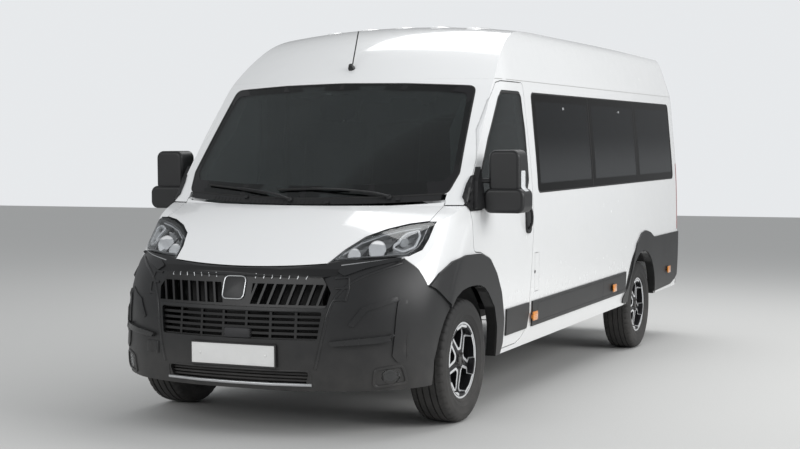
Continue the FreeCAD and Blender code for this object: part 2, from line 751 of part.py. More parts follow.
def side_panel(base, forms, sign):
    """One body side: pillars, sill, quarter, with its door and window openings."""
    cuts = [door_prism(PANEL_GAP), arch_prism(0), rear_arch_prism(0), screen_prism(0),
            box(0, FAR, NOSE_Y - OVERRUN, DOOR_FRONT_Y - PANEL_GAP, BODY_BOTTOM_Z,
                SCREEN_FOOT_Z - COWL_RISE), cowl_prism(SEAT_GAP), bonnet_gap_prism()]
    cuts = cuts + [bonnet_pin(SEAT_GAP), bonnet_lug_room(), door_pin(SEAT_GAP * 2)]
    if sign > 0:
        cuts.append(side_window_prism(0))
        cuts.append(flap_prism(0))
        cuts.append(flap_pin(SEAT_GAP))
    else:
        cuts.append(slide_prism(PANEL_GAP))
        cuts.append(quarter_window_prism(0))
    cuts.append(tail_lamp_prism(SEAT_GAP))
    if sign < 0:
        cuts = [mirrored(cut) for cut in cuts]
    panel = largest(base.common(side_region(sign)).cut(cuts))
    hinges = tail_hinge_brackets()
    if sign < 0:
        hinges = [mirrored(hinge) for hinge in hinges]
    return joined([panel] + hinges)


def quarter_window_prism(gap):
    """The fixed window behind the sliding door."""
    return window_prism(SLIDE_REAR_Y + WALL * 2, BODY_TAIL_Y - WINDOW_TAIL_MARGIN,
                        WINDOW_SILL_Z, WINDOW_TOP_Z, WINDOW_CORNER, gap)


def slide_window_prism(gap):
    """The window in the sliding door."""
    return window_prism(SLIDE_FRONT_Y + WALL * 2, SLIDE_REAR_Y - WALL * 2, WINDOW_SILL_Z,
                        WINDOW_TOP_Z, WINDOW_CORNER, gap)


def tail_lamp_prism(gap):
    """The slot in the rear corner for the tail lamp."""
    return box(TAIL_DOOR_HALF_WIDTH + FLOOR_THICK / 2 - gap, FAR,
               BODY_TAIL_Y - WALL * 2 - gap, TAIL_Y + OVERRUN,
               TAIL_LAMP_FOOT_Z - gap, TAIL_LAMP_TOP_Z + gap)


def flap_prism(gap):
    return box(HALF_WIDTH - FLAP_POCKET, FAR, FLAP_FRONT_Y - gap,
               FLAP_FRONT_Y + FLAP_LENGTH + gap, FLAP_FOOT_Z - gap, FLAP_TOP_Z + gap)


def front_wing(base, forms):
    """One front wing between bonnet, lamp, bumper, door and arch trim."""
    region = box(HALF_WIDTH / 2, FAR, NOSE_Y, DOOR_FRONT_Y - PANEL_GAP, BODY_BOTTOM_Z,
                 SCREEN_FOOT_Z - COWL_RISE - PANEL_GAP)
    cuts = [bumper_side_prism(PANEL_GAP / 2), lamp_prism(-PANEL_GAP / 2), bonnet_gap_prism(),
            arch_prism(0), door_prism(PANEL_GAP)]
    return largest(base.common(region).cut(cuts))


def bonnet_gap_prism():
    """The bonnet's region grown by the panel gap, to cut its neighbours."""
    lip = (BONNET_LIP_Z + BONNET_CORNER_Z) / 2 - PANEL_GAP
    side = bonnet_side(PANEL_GAP)
    rear = bonnet_rear(BONNET_HALF_WIDTH + PANEL_GAP, -PANEL_GAP)
    outline = [(0, lip)] + side + [rear[0], (0, rear[0][1])]
    return front_prism(outline, NOSE_Y - OVERRUN, BONNET_HINGE_Y + PANEL_GAP, 0)


def largest(shape):
    """The biggest solid of a shape, without slivers that a cut leaves."""
    return max(shape.Solids, key=lambda solid: solid.Volume)


def bonnet_pin(gap):
    """The left hinge pin of the bonnet, grown by the gap."""
    start = vec(BONNET_HALF_WIDTH - BONNET_LUG_WIDTH, BONNET_HINGE_Y, BONNET_HINGE_Z)
    end = vec(BONNET_HALF_WIDTH + PANEL_GAP + BONNET_PIN_DEPTH + gap, BONNET_HINGE_Y,
              BONNET_HINGE_Z)
    return rod(BONNET_PIN_RADIUS + gap, start, end)


def bonnet_lug_room():
    """Room behind the left hinge lug, so that it swings clear of the body."""
    reach = BONNET_PIN_RADIUS * 1.2 + PANEL_GAP * 1.2
    return box(BONNET_HALF_WIDTH - BONNET_LUG_WIDTH - PANEL_GAP, BONNET_HALF_WIDTH + PANEL_GAP,
               BONNET_HINGE_Y, BONNET_HINGE_Y + reach,
               BONNET_HINGE_Z - BONNET_PIN_RADIUS * 7, BONNET_HINGE_Z + reach)


def bonnet_relief():
    """The spindle about the hinge line that the bonnet's rear edge keeps clear of."""
    low = BONNET_PIN_RADIUS * 3
    high = BONNET_HINGE_Y - SCREEN_BASE_Y + PANEL_GAP * 1.8
    ends = [vec(BONNET_HALF_WIDTH, BONNET_HINGE_Y, BONNET_HINGE_Z + low),
            vec(0, BONNET_HINGE_Y, BONNET_HINGE_Z + high),
            vec(-BONNET_HALF_WIDTH, BONNET_HINGE_Y, BONNET_HINGE_Z + low)]
    feet = [vec(point.x, BONNET_HINGE_Y, BONNET_HINGE_Z) for point in ends]
    edges = [Part.Arc(*ends).toShape(), line(ends[2], feet[2]), line(feet[2], feet[0]),
             line(feet[0], ends[0])]
    return Part.Face(Part.Wire(edges)).revolve(feet[0], vec(1, 0, 0), 360)


def bonnet(forms):
    """The bonnet with a hinge lug and pin at each rear corner."""
    panel = forms.shell.common(bonnet_prism()).cut(bonnet_relief())
    lug = box(BONNET_HALF_WIDTH - BONNET_LUG_WIDTH, BONNET_HALF_WIDTH,
              BONNET_HINGE_Y - BONNET_PIN_RADIUS * 2.4, BONNET_HINGE_Y + BONNET_PIN_RADIUS * 1.2,
              BONNET_HINGE_Z - BONNET_PIN_RADIUS * 7, BONNET_HINGE_Z + BONNET_PIN_RADIUS)
    pin = bonnet_pin(0)
    return joined([largest(panel), lug, mirrored(lug), pin, mirrored(pin)])


def windscreen(forms):
    return largest(forms.pane.common(screen_prism(-SEAT_GAP)))


def cowl_prism(gap):
    """The band between the bonnet's rear edge and the windscreen's foot."""
    half = BONNET_HALF_WIDTH + gap
    foot = bonnet_rear(half, -PANEL_GAP + gap)
    head = arc_outline(half, SCREEN_FOOT_Z - SEAT_GAP + gap, -COWL_RISE)
    return front_prism(list(reversed(foot)) + head, NOSE_Y, DOOR_REAR_Y / 2, 0)


def cowl_tray(forms):
    """The plastic tray between the bonnet and the windscreen."""
    room = BONNET_HALF_WIDTH - BONNET_LUG_WIDTH - PANEL_GAP
    ends = box(room, FAR, NOSE_Y, DOOR_REAR_Y, BODY_BOTTOM_Z, CROWN_HEIGHT)
    return largest(forms.shell.common(cowl_prism(0)).cut([ends, mirrored(ends)]))


def front_bumper(forms):
    """The bumper moulding with its grille openings."""
    nose = forms.shell.common(box(-FAR, FAR, NOSE_Y - OVERRUN, BUMPER_ARCH_Y + WALL,
                                  BUMPER_BOTTOM_Z, LAMP_TIP_Z))
    shell = nose.common(bumper_front_prism()).common(bumper_side_prism(0))
    cuts = [grille_prism(0), intake_prism(0), mouth_prism(0)]
    fog = rod(FOG_RADIUS + SEAT_GAP, vec(FOG_X, NOSE_Y - OVERRUN, FOG_Z), vec(FOG_X, 0, FOG_Z))
    cuts = cuts + [fog, mirrored(fog), tow_eye_bore(TOW_EYE_HOLE_RADIUS)]
    cuts = cuts + [arch_prism(0), mirrored(arch_prism(0))]
    return largest(shell.cut(cuts))


def grille_prism(gap):
    half = GRILLE_HALF_WIDTH - gap
    foot = GRILLE_FOOT_Z + gap
    head = GRILLE_TOP_Z - gap
    outline = [(half * 0.97, foot), (half, (foot + head) / 2), (half * 0.9, head)]
    return front_prism(symmetric(outline), NOSE_Y - OVERRUN, 0, SLAT)


def intake_prism(gap):
    half = INTAKE_HALF_WIDTH - gap
    outline = [(half * 0.96, INTAKE_FOOT_Z + gap), (half, INTAKE_TOP_Z - gap)]
    return front_prism(symmetric(outline), NOSE_Y - OVERRUN, 0, SLAT)


def mouth_prism(gap):
    half = MOUTH_HALF_WIDTH - gap
    outline = [(half * 0.95, MOUTH_FOOT_Z + gap), (half, MOUTH_TOP_Z - gap)]
    return front_prism(symmetric(outline), NOSE_Y - OVERRUN, 0, SLAT)


def nose_band(half, foot, head, thick):
    """A slab that follows the nose between two heights; each height gives z, middle and end y."""
    wires = []
    for z, middle_y, end_y in (foot, head):
        front = [vec(-half, end_y, z), vec(0, middle_y, z), vec(half, end_y, z)]
        back = [point + vec(0, thick, 0) for point in front]
        wires.append(Part.Wire([Part.Arc(*front).toShape(), line(front[2], back[2]),
                                Part.Arc(back[2], back[1], back[0]).toShape(),
                                line(back[0], front[0])]))
    return Part.makeLoft(wires, True, True)


def grille_ribs():
    """The leaning ribs on both sides of the badge place."""
    ribs = []
    pitch = (GRILLE_HALF_WIDTH - BADGE_HALF_WIDTH) / RIB_COUNT
    for i in range(RIB_COUNT):
        x = BADGE_HALF_WIDTH + pitch * (i + 0.5)
        lean = pitch * RIB_LEAN_SHARE
        rib = front_prism([(x - lean, GRILLE_FOOT_Z), (x - lean + SLAT, GRILLE_FOOT_Z),
                           (x + SLAT, GRILLE_TOP_Z), (x, GRILLE_TOP_Z)], NOSE_Y - OVERRUN, 0)
        ribs = ribs + [rib, mirrored(rib)]
    return ribs


def upper_grille():
    """The ribbed grille with its bare badge place."""
    slab = nose_band(GRILLE_HALF_WIDTH, (GRILLE_FOOT_Z, NOSE_Y + GRILLE_FOOT_BACK,
                                         NOSE_Y + GRILLE_FOOT_END),
                     (GRILLE_TOP_Z, NOSE_Y + GRILLE_TOP_BACK, NOSE_Y + GRILLE_TOP_END),
                     GRILLE_THICK)
    slab = slab.common(grille_prism(SEAT_GAP))
    keep = [box(-FAR, FAR, NOSE_Y - OVERRUN, 0, GRILLE_FOOT_Z, GRILLE_FOOT_Z + SLAT),
            box(-FAR, FAR, NOSE_Y - OVERRUN, 0, GRILLE_TOP_Z - SLAT * 3, GRILLE_TOP_Z),
            box(-BADGE_HALF_WIDTH, BADGE_HALF_WIDTH, NOSE_Y - OVERRUN, 0, GRILLE_FOOT_Z,
                GRILLE_TOP_Z)]
    return largest(slab.common(joined(keep + grille_ribs())))


def lower_grille():
    """The slatted intake with its upright dividers."""
    slab = nose_band(INTAKE_HALF_WIDTH, (INTAKE_FOOT_Z, NOSE_Y + INTAKE_FOOT_BACK,
                                         NOSE_Y + INTAKE_FOOT_END),
                     (INTAKE_TOP_Z, NOSE_Y + INTAKE_TOP_BACK, NOSE_Y + INTAKE_TOP_END),
                     GRILLE_THICK)
    slab = slab.common(intake_prism(SEAT_GAP))
    keep = []
    pitch = (INTAKE_TOP_Z - INTAKE_FOOT_Z) / SLAT_COUNT
    for i in range(SLAT_COUNT + 1):
        z = INTAKE_FOOT_Z + pitch * i
        keep.append(box(-FAR, FAR, NOSE_Y - OVERRUN, 0, z - SLAT / 2, z + SLAT / 2))
    pitch = INTAKE_HALF_WIDTH * 2 / DIVIDER_COUNT
    for i in range(DIVIDER_COUNT + 1):
        x = pitch * i - INTAKE_HALF_WIDTH
        keep.append(box(x - SLAT / 2, x + SLAT / 2, NOSE_Y - OVERRUN, 0, 0, CROWN_HEIGHT))
    return largest(slab.common(joined(keep)))


def grilles():
    return Part.makeCompound([upper_grille(), lower_grille()])


def front_lamps(forms):
    """Headlamps and fog lamps, each a closed solid."""
    bumper = moved(bumper_front_prism(), vec(0, 0, SEAT_GAP))
    head = largest(forms.shell.common(lamp_prism(PANEL_GAP / 3)).cut(bumper))
    fog = forms.shell.common(rod(FOG_RADIUS, vec(FOG_X, NOSE_Y - OVERRUN, FOG_Z),
                                 vec(FOG_X, 0, FOG_Z)))
    return Part.makeCompound([head, mirrored(head), fog, mirrored(fog)])


def number_plate():
    """The blank front plate on the bumper."""
    face = NOSE_Y - PLATE_STAND
    return box(-PLATE_HALF_WIDTH, PLATE_HALF_WIDTH, face - PLATE_THICK, face, PLATE_FOOT_Z,
               PLATE_TOP_Z)


# Trims

def front_arch_trim(forms):
    """The wide moulding on the metal round a front wheel."""
    skin = forms.trim.common(arch_trim_prism())
    return largest(skin.cut([arch_prism(0), door_prism(PANEL_GAP), below(SILL_BOTTOM_Z),
                             bumper_side_prism(SEAT_GAP)]))


def arch_liner(forms):
    """The half drum over a front wheel, inside the body's wall."""
    centre = vec(LINER_INNER_X, ARCH_CENTRE_Y, TYRE_RADIUS)
    depth = HALF_WIDTH - WALL * 1.6 - LINER_INNER_X
    drum = Part.makeCylinder(LINER_RADIUS, depth, centre, vec(1, 0, 0))
    inside = centre + vec(LINER_SHEET, 0, 0)
    hollow = Part.makeCylinder(LINER_RADIUS - LINER_SHEET, depth, inside, vec(1, 0, 0))
    tower = rod(SPRING_RADIUS * 1.35, strut_point(STRUT_TOP_Z - SPRING_RADIUS * 5),
                strut_point(STRUT_TOP_Z + SPRING_RADIUS))
    shaft = rod(SPRING_RADIUS * 1.6, vec(0, 0, TYRE_RADIUS), vec(FRONT_WHEEL_X, 0, TYRE_RADIUS))
    trimmed = drum.cut([hollow, below(TYRE_RADIUS + FLOOR_THICK), tower, shaft])
    return largest(trimmed.common(forms.inner))


def side_mouldings(forms):
    """The rub strip along each sill."""
    rear = REAR_AXLE_Y - REAR_ARCH_RADIUS * 1.2
    strip = box(0, FAR, DOOR_REAR_Y - FLOOR_THICK, rear, DOOR_SILL_Z + WALL * 1.3,
                DOOR_SILL_Z + WALL * 4.3)
    left = largest(forms.trim.common(strip.cut(door_prism(PANEL_GAP))))
    right_cut = slide_prism(PANEL_GAP)
    right = forms.trim.common(strip.cut([door_prism(PANEL_GAP), right_cut]))
    right = [mirrored(solid) for solid in right.Solids if solid.Length > WALL]
    return Part.makeCompound([left] + right)


def rear_quarter_trim(forms):
    """The moulding round a rear wheel and along the rear corner."""
    skin = forms.trim.common(side_prism(rear_trim_outline(), HALF_WIDTH / 2, FAR, WALL / 2))
    return largest(skin.cut(rear_arch_prism(0)))


def marker_lamps(forms):
    """The amber marker lamps on the mouldings of each side."""
    middle = DOOR_SILL_Z + WALL * 2.5
    lamps = []
    for y in (DOOR_REAR_Y - MARKER_HALF_LENGTH, REAR_AXLE_Y - REAR_ARCH_RADIUS * 2,
              BODY_TAIL_Y - REAR_ARCH_RADIUS):
        lamp = box(HALF_WIDTH / 2, HALF_WIDTH + TRIM_PROUD + GLASS, y - MARKER_HALF_LENGTH,
                   y + MARKER_HALF_LENGTH, middle - MARKER_HALF_HEIGHT,
                   middle + MARKER_HALF_HEIGHT)
        lamps.append(largest(lamp.cut(forms.proud)))
    return pair(Part.makeCompound(lamps))


# Wheels

def tyre():
    """A tyre about the X axis, its outer face towards +X."""
    half = TYRE_WIDTH / 2
    bead = RIM_LIP_RADIUS + SEAT_GAP
    inner = RIM_BARREL_RADIUS + RIM_SHEET + SEAT_GAP
    rim_half = RIM_WIDTH / 2 - RIM_SHEET - SEAT_GAP
    shoulder = TYRE_RADIUS - half * 0.24
    outline = [(-rim_half, inner), (-rim_half, bead), (-half * 0.95, bead + RIM_SHEET * 2),
               (-half, (shoulder + bead) / 2), (-half * 0.93, shoulder),
               (-half * 0.72, TYRE_RADIUS), (half * 0.72, TYRE_RADIUS),
               (half * 0.93, shoulder), (half, (shoulder + bead) / 2),
               (half * 0.95, bead + RIM_SHEET * 2), (rim_half, bead), (rim_half, inner)]
    return turned(outline)


def turned(outline):
    """The solid that an outline of x, radius pairs sweeps about the X axis."""
    points = [vec(x, 0, r) for x, r in outline]
    face = Part.Face(Part.makePolygon(points + points[:1]))
    return face.revolve(vec(0, 0, 0), vec(1, 0, 0), 360)


def rim_opening():
    """The opening between two spokes at the top of the wheel."""
    waist = OPENING_HALF_WIDTH / 5
    shoulder = OPENING_HALF_WIDTH * 0.88
    left = [(waist, OPENING_FOOT_RADIUS), (OPENING_HALF_WIDTH, DISC_RADIUS),
            (shoulder, OPENING_HEAD_RADIUS - OPENING_CORNER)]
    outline = left + [(0, OPENING_HEAD_RADIUS)] + [(-y, z) for y, z in reversed(left)]
    return side_prism(outline, 0, RIM_WIDTH, OPENING_CORNER)


def wheel_face():
    """The domed face of the rim with its five openings."""
    face_x = RIM_WIDTH / 2 - RIM_SHEET * 2
    reach = RIM_BARREL_RADIUS + RIM_SHEET / 2
    edge = face_x - FACE_DOME
    face = turned([(HUB_BACK_X, 0), (face_x, 0), (face_x, HUB_RADIUS), (edge, reach),
                   (edge - SPOKE_DEPTH * 0.7, reach), (HUB_BACK_X, HUB_RADIUS)])
    openings = []
    for i in range(SPOKE_COUNT):
        opening = rim_opening()
        opening.rotate(vec(0, 0, 0), vec(1, 0, 0), 360 * i / SPOKE_COUNT)
        openings.append(opening)
    return face.cut(openings)


def rim():
    """A rim with its five-spoked face, hub and brake disc, outer face towards +X."""
    half = RIM_WIDTH / 2
    outer = RIM_BARREL_RADIUS + RIM_SHEET
    barrel = turned([(-half, RIM_LIP_RADIUS), (-half, RIM_BARREL_RADIUS),
                     (half, RIM_BARREL_RADIUS), (half, RIM_LIP_RADIUS),
                     (half - RIM_SHEET, RIM_LIP_RADIUS), (half - RIM_SHEET, outer),
                     (RIM_SHEET - half, outer), (RIM_SHEET - half, RIM_LIP_RADIUS)])
    disc_face = HUB_BACK_X - DISC_THICK * 1.2
    boss = rod(HUB_RADIUS, vec(disc_face - DISC_THICK, 0, 0), vec(HUB_BACK_X, 0, 0))
    disc = rod(DISC_RADIUS, vec(disc_face - DISC_THICK, 0, 0), vec(disc_face, 0, 0))
    wheel = joined([barrel, wheel_face(), boss, disc])
    return wheel.cut(rod(BORE_RADIUS, vec(-half * 2, 0, 0), vec(HUB_BACK_X, 0, 0)))


def moved(shape, offset):
    """A copy of the shape moved by the offset."""
    piece = shape.copy()
    piece.translate(offset)
    return piece


def strut_point(z):
    """The point of the left steering axis at one height."""
    share = (z - BALL_JOINT_Z) / (STRUT_TOP_Z - BALL_JOINT_Z)
    return vec(BALL_JOINT_X + (STRUT_TOP_X - BALL_JOINT_X) * share, 0, z)


def knuckle():
    """The left hub carrier with its spindle, strut and spring, all on the steering axis."""
    hub_x = FRONT_WHEEL_X + HUB_BACK_X
    disc_back = hub_x - DISC_THICK * 2.2
    carrier_x = disc_back - PANEL_GAP - FLOOR_THICK / 2
    spindle = rod(SPINDLE_RADIUS, vec(carrier_x, 0, TYRE_RADIUS), vec(hub_x - PANEL_GAP, 0,
                                                                     TYRE_RADIUS))
    carrier = rod(HUB_RADIUS, vec(carrier_x - FLOOR_THICK, 0, TYRE_RADIUS),
                  vec(carrier_x + FLOOR_THICK / 2, 0, TYRE_RADIUS))
    low = strut_point(BALL_JOINT_Z + PANEL_GAP * 1.15)
    neck = rod(STRUT_TUBE_RADIUS, low, strut_point(STRUT_TOP_Z - SPRING_RADIUS))
    spring = ring(SPRING_RADIUS, SPRING_RADIUS * 0.6,
                  strut_point(STRUT_TOP_Z - SPRING_RADIUS * 4),
                  strut_point(STRUT_TOP_Z - SPRING_RADIUS * 0.6))
    seat = rod(SPRING_RADIUS, strut_point(STRUT_TOP_Z - SPRING_RADIUS * 4.2),
               strut_point(STRUT_TOP_Z - SPRING_RADIUS * 4))
    cap = rod(SPRING_RADIUS, strut_point(STRUT_TOP_Z - SPRING_RADIUS * 0.6),
              strut_point(STRUT_TOP_Z - SPRING_RADIUS * 0.4))
    return joined([spindle, carrier, neck, spring, seat, cap])


def front_subframe():
    """The lower arms and the frame that carries them under the rails."""
    half = RAIL_X - RAIL_WIDTH / 2
    thick = FLOOR_THICK * 0.6
    top = BALL_JOINT_Z
    tip = BALL_JOINT_X + WALL / 2
    arm = plan_prism([(half - WALL, -WALL * 2), (half, -WALL * 2), (tip, -WALL / 2),
                      (tip, WALL / 2), (half, WALL * 3), (half - WALL, WALL * 3)],
                     top - thick, top, STRUT_TUBE_RADIUS * 0.8)
    frame = box(-half, half, -WALL * 3, WALL * 4, top, top + WALL)
    posts = []
    for y in (-WALL * 2.4, WALL * 3):
        posts.append(box(half - WALL, RAIL_X, y - FLOOR_THICK / 2, y + FLOOR_THICK / 2,
                         top, FLOOR_Z - FLOOR_THICK - RAIL_HEIGHT))
    left = [arm] + posts
    right = [mirrored(piece) for piece in left]
    return joined(left + right + [frame])


def chassis():
    """The two rails, their cross members and the socket of the towing eye."""
    top = FLOOR_Z - FLOOR_THICK
    foot = top - RAIL_HEIGHT
    front = NOSE_Y + WALL * 3
    rear = BODY_TAIL_Y - WALL * 1.5
    rail = box(RAIL_X - RAIL_WIDTH / 2, RAIL_X + RAIL_WIDTH / 2, front, rear, foot, top)
    pieces = [rail, mirrored(rail)]
    stations = [front, SCREEN_TOP_Y, SLIDE_REAR_Y, REAR_AXLE_Y - REAR_ARCH_RADIUS * 1.6,
                REAR_AXLE_Y + SPARE_AHEAD, rear - RAIL_WIDTH]
    for y in stations:
        pieces.append(box(-RAIL_X, RAIL_X, y, y + RAIL_WIDTH, foot + RAIL_WIDTH / 3, top))
    return joined(pieces + [tow_eye_bracket()]).cut(tow_eye_bore(TOW_EYE_RADIUS))


def strut_tower():
    """The cup over the left strut, carried from the rail by a post and a bridge."""
    top = FLOOR_Z - FLOOR_THICK
    head = STRUT_TOP_Z + SPRING_RADIUS / 3
    cup = ring(SPRING_RADIUS * 1.3, SPRING_RADIUS * 1.12,
               strut_point(STRUT_TOP_Z - SPRING_RADIUS * 2), strut_point(STRUT_TOP_Z))
    lid = rod(SPRING_RADIUS * 1.3, strut_point(STRUT_TOP_Z), strut_point(head))
    bridge = box(RAIL_X, STRUT_TOP_X, -WALL / 2, WALL / 2, STRUT_TOP_Z, head)
    post = box(RAIL_X, RAIL_X + RAIL_WIDTH / 2, -WALL / 2, WALL / 2, top, head)
    return joined([cup, lid, bridge, post])


def tow_eye_y():
    """Where the socket of the towing eye begins, behind the bumper."""
    return NOSE_Y + WALL * 3


def tow_eye_bore(radius):
    """A straight hole on the line of the towing eye, from ahead of the nose to its end."""
    return rod(radius, vec(TOW_EYE_X, NOSE_Y - OVERRUN, TOW_EYE_Z),
               vec(TOW_EYE_X, tow_eye_y() + TOW_EYE_DEPTH, TOW_EYE_Z))


def tow_eye_bracket():
    """The socket of the towing eye on its bracket beside the rail."""
    front = tow_eye_y()
    socket = rod(TOW_EYE_RADIUS + TOW_EYE_WALL, vec(TOW_EYE_X, front, TOW_EYE_Z),
                 vec(TOW_EYE_X, front + TOW_EYE_DEPTH + TOW_EYE_WALL, TOW_EYE_Z))
    arm = box(TOW_EYE_X - TOW_EYE_WALL, -RAIL_X, front, front + TOW_EYE_DEPTH,
              TOW_EYE_Z, FLOOR_Z - FLOOR_THICK - TOW_EYE_WALL)
    return joined([socket, arm])


def engine_block():
    """The transverse engine as one plain block, with the radiator ahead of it."""
    foot = BALL_JOINT_Z + WALL * 3
    half = RAIL_X - RAIL_WIDTH / 2 - FLOOR_THICK
    engine = box(-half, half, NOSE_Y + WALL * 5.5, -WALL * 3.3, foot, FLOOR_Z * 1.5)
    mount_z = FLOOR_Z - FLOOR_THICK - RAIL_HEIGHT / 2
    mounts = box(-half - FLOOR_THICK, half + FLOOR_THICK, -WALL * 8, -WALL * 7,
                 mount_z - FLOOR_THICK / 2, mount_z + FLOOR_THICK / 2)
    return joined([engine, mounts])


def radiator():
    front = NOSE_Y + WALL * 3 + RAIL_WIDTH
    half = RAIL_X - RAIL_WIDTH / 2 - SEAT_GAP
    return box(-half, half, front + SEAT_GAP, front + FLOOR_THICK + SEAT_GAP, DOOR_SILL_Z,
               GRILLE_TOP_Z)


def rear_axle():
    """The tubular rear axle with leaf springs."""
    hub_x = REAR_WHEEL_X + HUB_BACK_X
    disc_back = hub_x - DISC_THICK * 2.2
    tube_end = disc_back - PANEL_GAP
    centre_z = REAR_AXLE_Z
    tube = rod(FLOOR_THICK, vec(-tube_end, REAR_AXLE_Y, centre_z),
               vec(tube_end, REAR_AXLE_Y, centre_z))
    spindle = rod(SPINDLE_RADIUS, vec(PANEL_GAP - hub_x, REAR_AXLE_Y, centre_z),
                  vec(hub_x - PANEL_GAP, REAR_AXLE_Y, centre_z))
    pieces = [tube, spindle]
    leaf_z = centre_z + FLOOR_THICK * 0.8
    half = RAIL_WIDTH / 2
    length = REAR_ARCH_RADIUS * 1.45
    rise = FLOOR_Z - FLOOR_THICK - RAIL_HEIGHT - leaf_z - SEAT_GAP
    for x in (-RAIL_X, RAIL_X):
        top = [vec(x - half, REAR_AXLE_Y - length, leaf_z + rise),
               vec(x - half, REAR_AXLE_Y, leaf_z + FLOOR_THICK / 2),
               vec(x - half, REAR_AXLE_Y + length, leaf_z + rise)]
        low = [point - vec(0, 0, FLOOR_THICK / 2) for point in top]
        edges = [Part.Arc(*top).toShape(), line(top[2], low[2]),
                 Part.Arc(low[2], low[1], low[0]).toShape(), line(low[0], top[0])]
        leaf = Part.Face(Part.Wire(edges)).extrude(vec(RAIL_WIDTH, 0, 0))
        pieces.append(leaf)
    return joined(pieces)


def fuel_tank():
    half = RAIL_X - RAIL_WIDTH / 2 - PANEL_GAP
    top = FLOOR_Z - FLOOR_THICK - SEAT_GAP
    tank = box(-half / 4, half, DOOR_REAR_Y + WALL * 3, DOOR_REAR_Y + WALL * 20,
               DOOR_SILL_Z + WALL / 2, top)
    return tank.makeFillet(FLOOR_THICK, [edge for edge in tank.Edges if edge.Length > 0])


def exhaust():
    """The exhaust pipe and its silencer under the floor."""
    x = -RAIL_X / 2
    z = FLOOR_Z - FLOOR_THICK - RAIL_HEIGHT - WALL / 2
    y0 = WALL * 5
    y1 = REAR_AXLE_Y - REAR_ARCH_RADIUS * 1.9
    pipe = rod(STRUT_TUBE_RADIUS, vec(x, y0, z), vec(x, y1, z))
    drum = rod(WALL * 1.5, vec(x, SLIDE_REAR_Y + WALL * 4, z), vec(x, y1 - WALL * 2, z))
    hanger = box(x - FLOOR_THICK / 2, x + FLOOR_THICK / 2, SLIDE_REAR_Y + WALL * 5,
                 SLIDE_REAR_Y + WALL * 5 + FLOOR_THICK, z, FLOOR_Z - FLOOR_THICK)
    return joined([pipe, drum, hanger])


def spare_wheel():
    """The spare wheel slung flat under the tail."""
    wheel = tyre()
    wheel.rotate(vec(0, 0, 0), vec(0, 1, 0), 90)
    y = REAR_AXLE_Y + SPARE_AHEAD + RAIL_WIDTH + TYRE_RADIUS + FLOOR_THICK / 4
    z = FLOOR_Z - FLOOR_THICK - TYRE_WIDTH / 2 - SEAT_GAP
    wheel.translate(vec(0, y, z))
    return wheel


def floor_pan(forms):
    """The floor with the bulkhead and the rear wheel boxes."""
    slab = forms.inner.common(box(-FAR, FAR, ARCH_CENTRE_Y + LINER_RADIUS + PANEL_GAP,
                                  BODY_TAIL_Y, FLOOR_Z - FLOOR_THICK, FLOOR_Z))
    tongue = box(SEAT_GAP * 2 - LINER_INNER_X, LINER_INNER_X - SEAT_GAP * 2, WALL,
                 ARCH_CENTRE_Y + LINER_RADIUS + WALL, FLOOR_Z - FLOOR_THICK, FLOOR_Z)
    wall = box(-LINER_INNER_X + SEAT_GAP * 2, LINER_INNER_X - SEAT_GAP * 2, WALL,
               WALL + FLOOR_THICK, FLOOR_Z - FLOOR_THICK, SCREEN_FOOT_Z - WALL * 2)
    crown = REAR_AXLE_Z + REAR_ARCH_RADIUS + PANEL_GAP
    wheel_box = forms.inner.common(box(REAR_WHEEL_X - TYRE_WIDTH * 0.7, FAR,
                                       REAR_AXLE_Y - REAR_ARCH_RADIUS - WALL / 2,
                                       REAR_AXLE_Y + REAR_ARCH_RADIUS + WALL / 2,
                                       FLOOR_Z - FLOOR_THICK, crown + LINER_SHEET))
    hollow = Part.makeCylinder(REAR_ARCH_RADIUS, HALF_WIDTH,
                               vec(REAR_WHEEL_X - TYRE_WIDTH * 0.7 + LINER_SHEET, REAR_AXLE_Y,
                                   REAR_AXLE_Z), vec(1, 0, 0))
    solid = joined([slab, tongue, wall, wheel_box, mirrored(wheel_box)])
    return solid.cut([hollow, mirrored(hollow)])


# Cab and cabin

def seat(x, y, floor):
    """One seat with its box, cushion, back and headrest; y is its front edge."""
    half = SEAT_WIDTH / 2
    top = floor + SEAT_HEIGHT
    back_y = y + SEAT_LENGTH
    outline = [(y, top - CUSHION), (y, top), (back_y - SEAT_SHELL, top - CUSHION / 4),
               (back_y + SEAT_SHELL, top + SEAT_BACK), (back_y + SEAT_SHELL * 2,
                                                        top + SEAT_BACK),
               (back_y + SEAT_SHELL / 3, top - CUSHION)]
    body = side_prism(outline, x - half, x + half, SEAT_SHELL / 3)
    base = box(x - half * 0.8, x + half * 0.8, y + SEAT_SHELL, back_y - SEAT_SHELL, floor,
               top - CUSHION)
    rest_y = back_y + SEAT_SHELL * 1.45
    rest_z = top + SEAT_BACK
    rest = box(x - half * 0.5, x + half * 0.5, rest_y - SEAT_SHELL * 0.5,
               rest_y + SEAT_SHELL * 0.5, rest_z + SEAT_SHELL / 3, rest_z + SEAT_SHELL * 2.2)
    stem = box(x - half * 0.2, x + half * 0.2, rest_y - SEAT_SHELL / 8, rest_y + SEAT_SHELL / 8,
               rest_z - SEAT_SHELL / 2, rest_z + SEAT_SHELL / 2)
    return joined([body, base, rest, stem])


def front_seats():
    y = STEERING_WHEEL_Y + STEERING_WHEEL_RADIUS * 0.5
    return Part.makeCompound([seat(x, y, FLOOR_Z) for x in
                              (STEERING_WHEEL_X, -STEERING_WHEEL_X)])


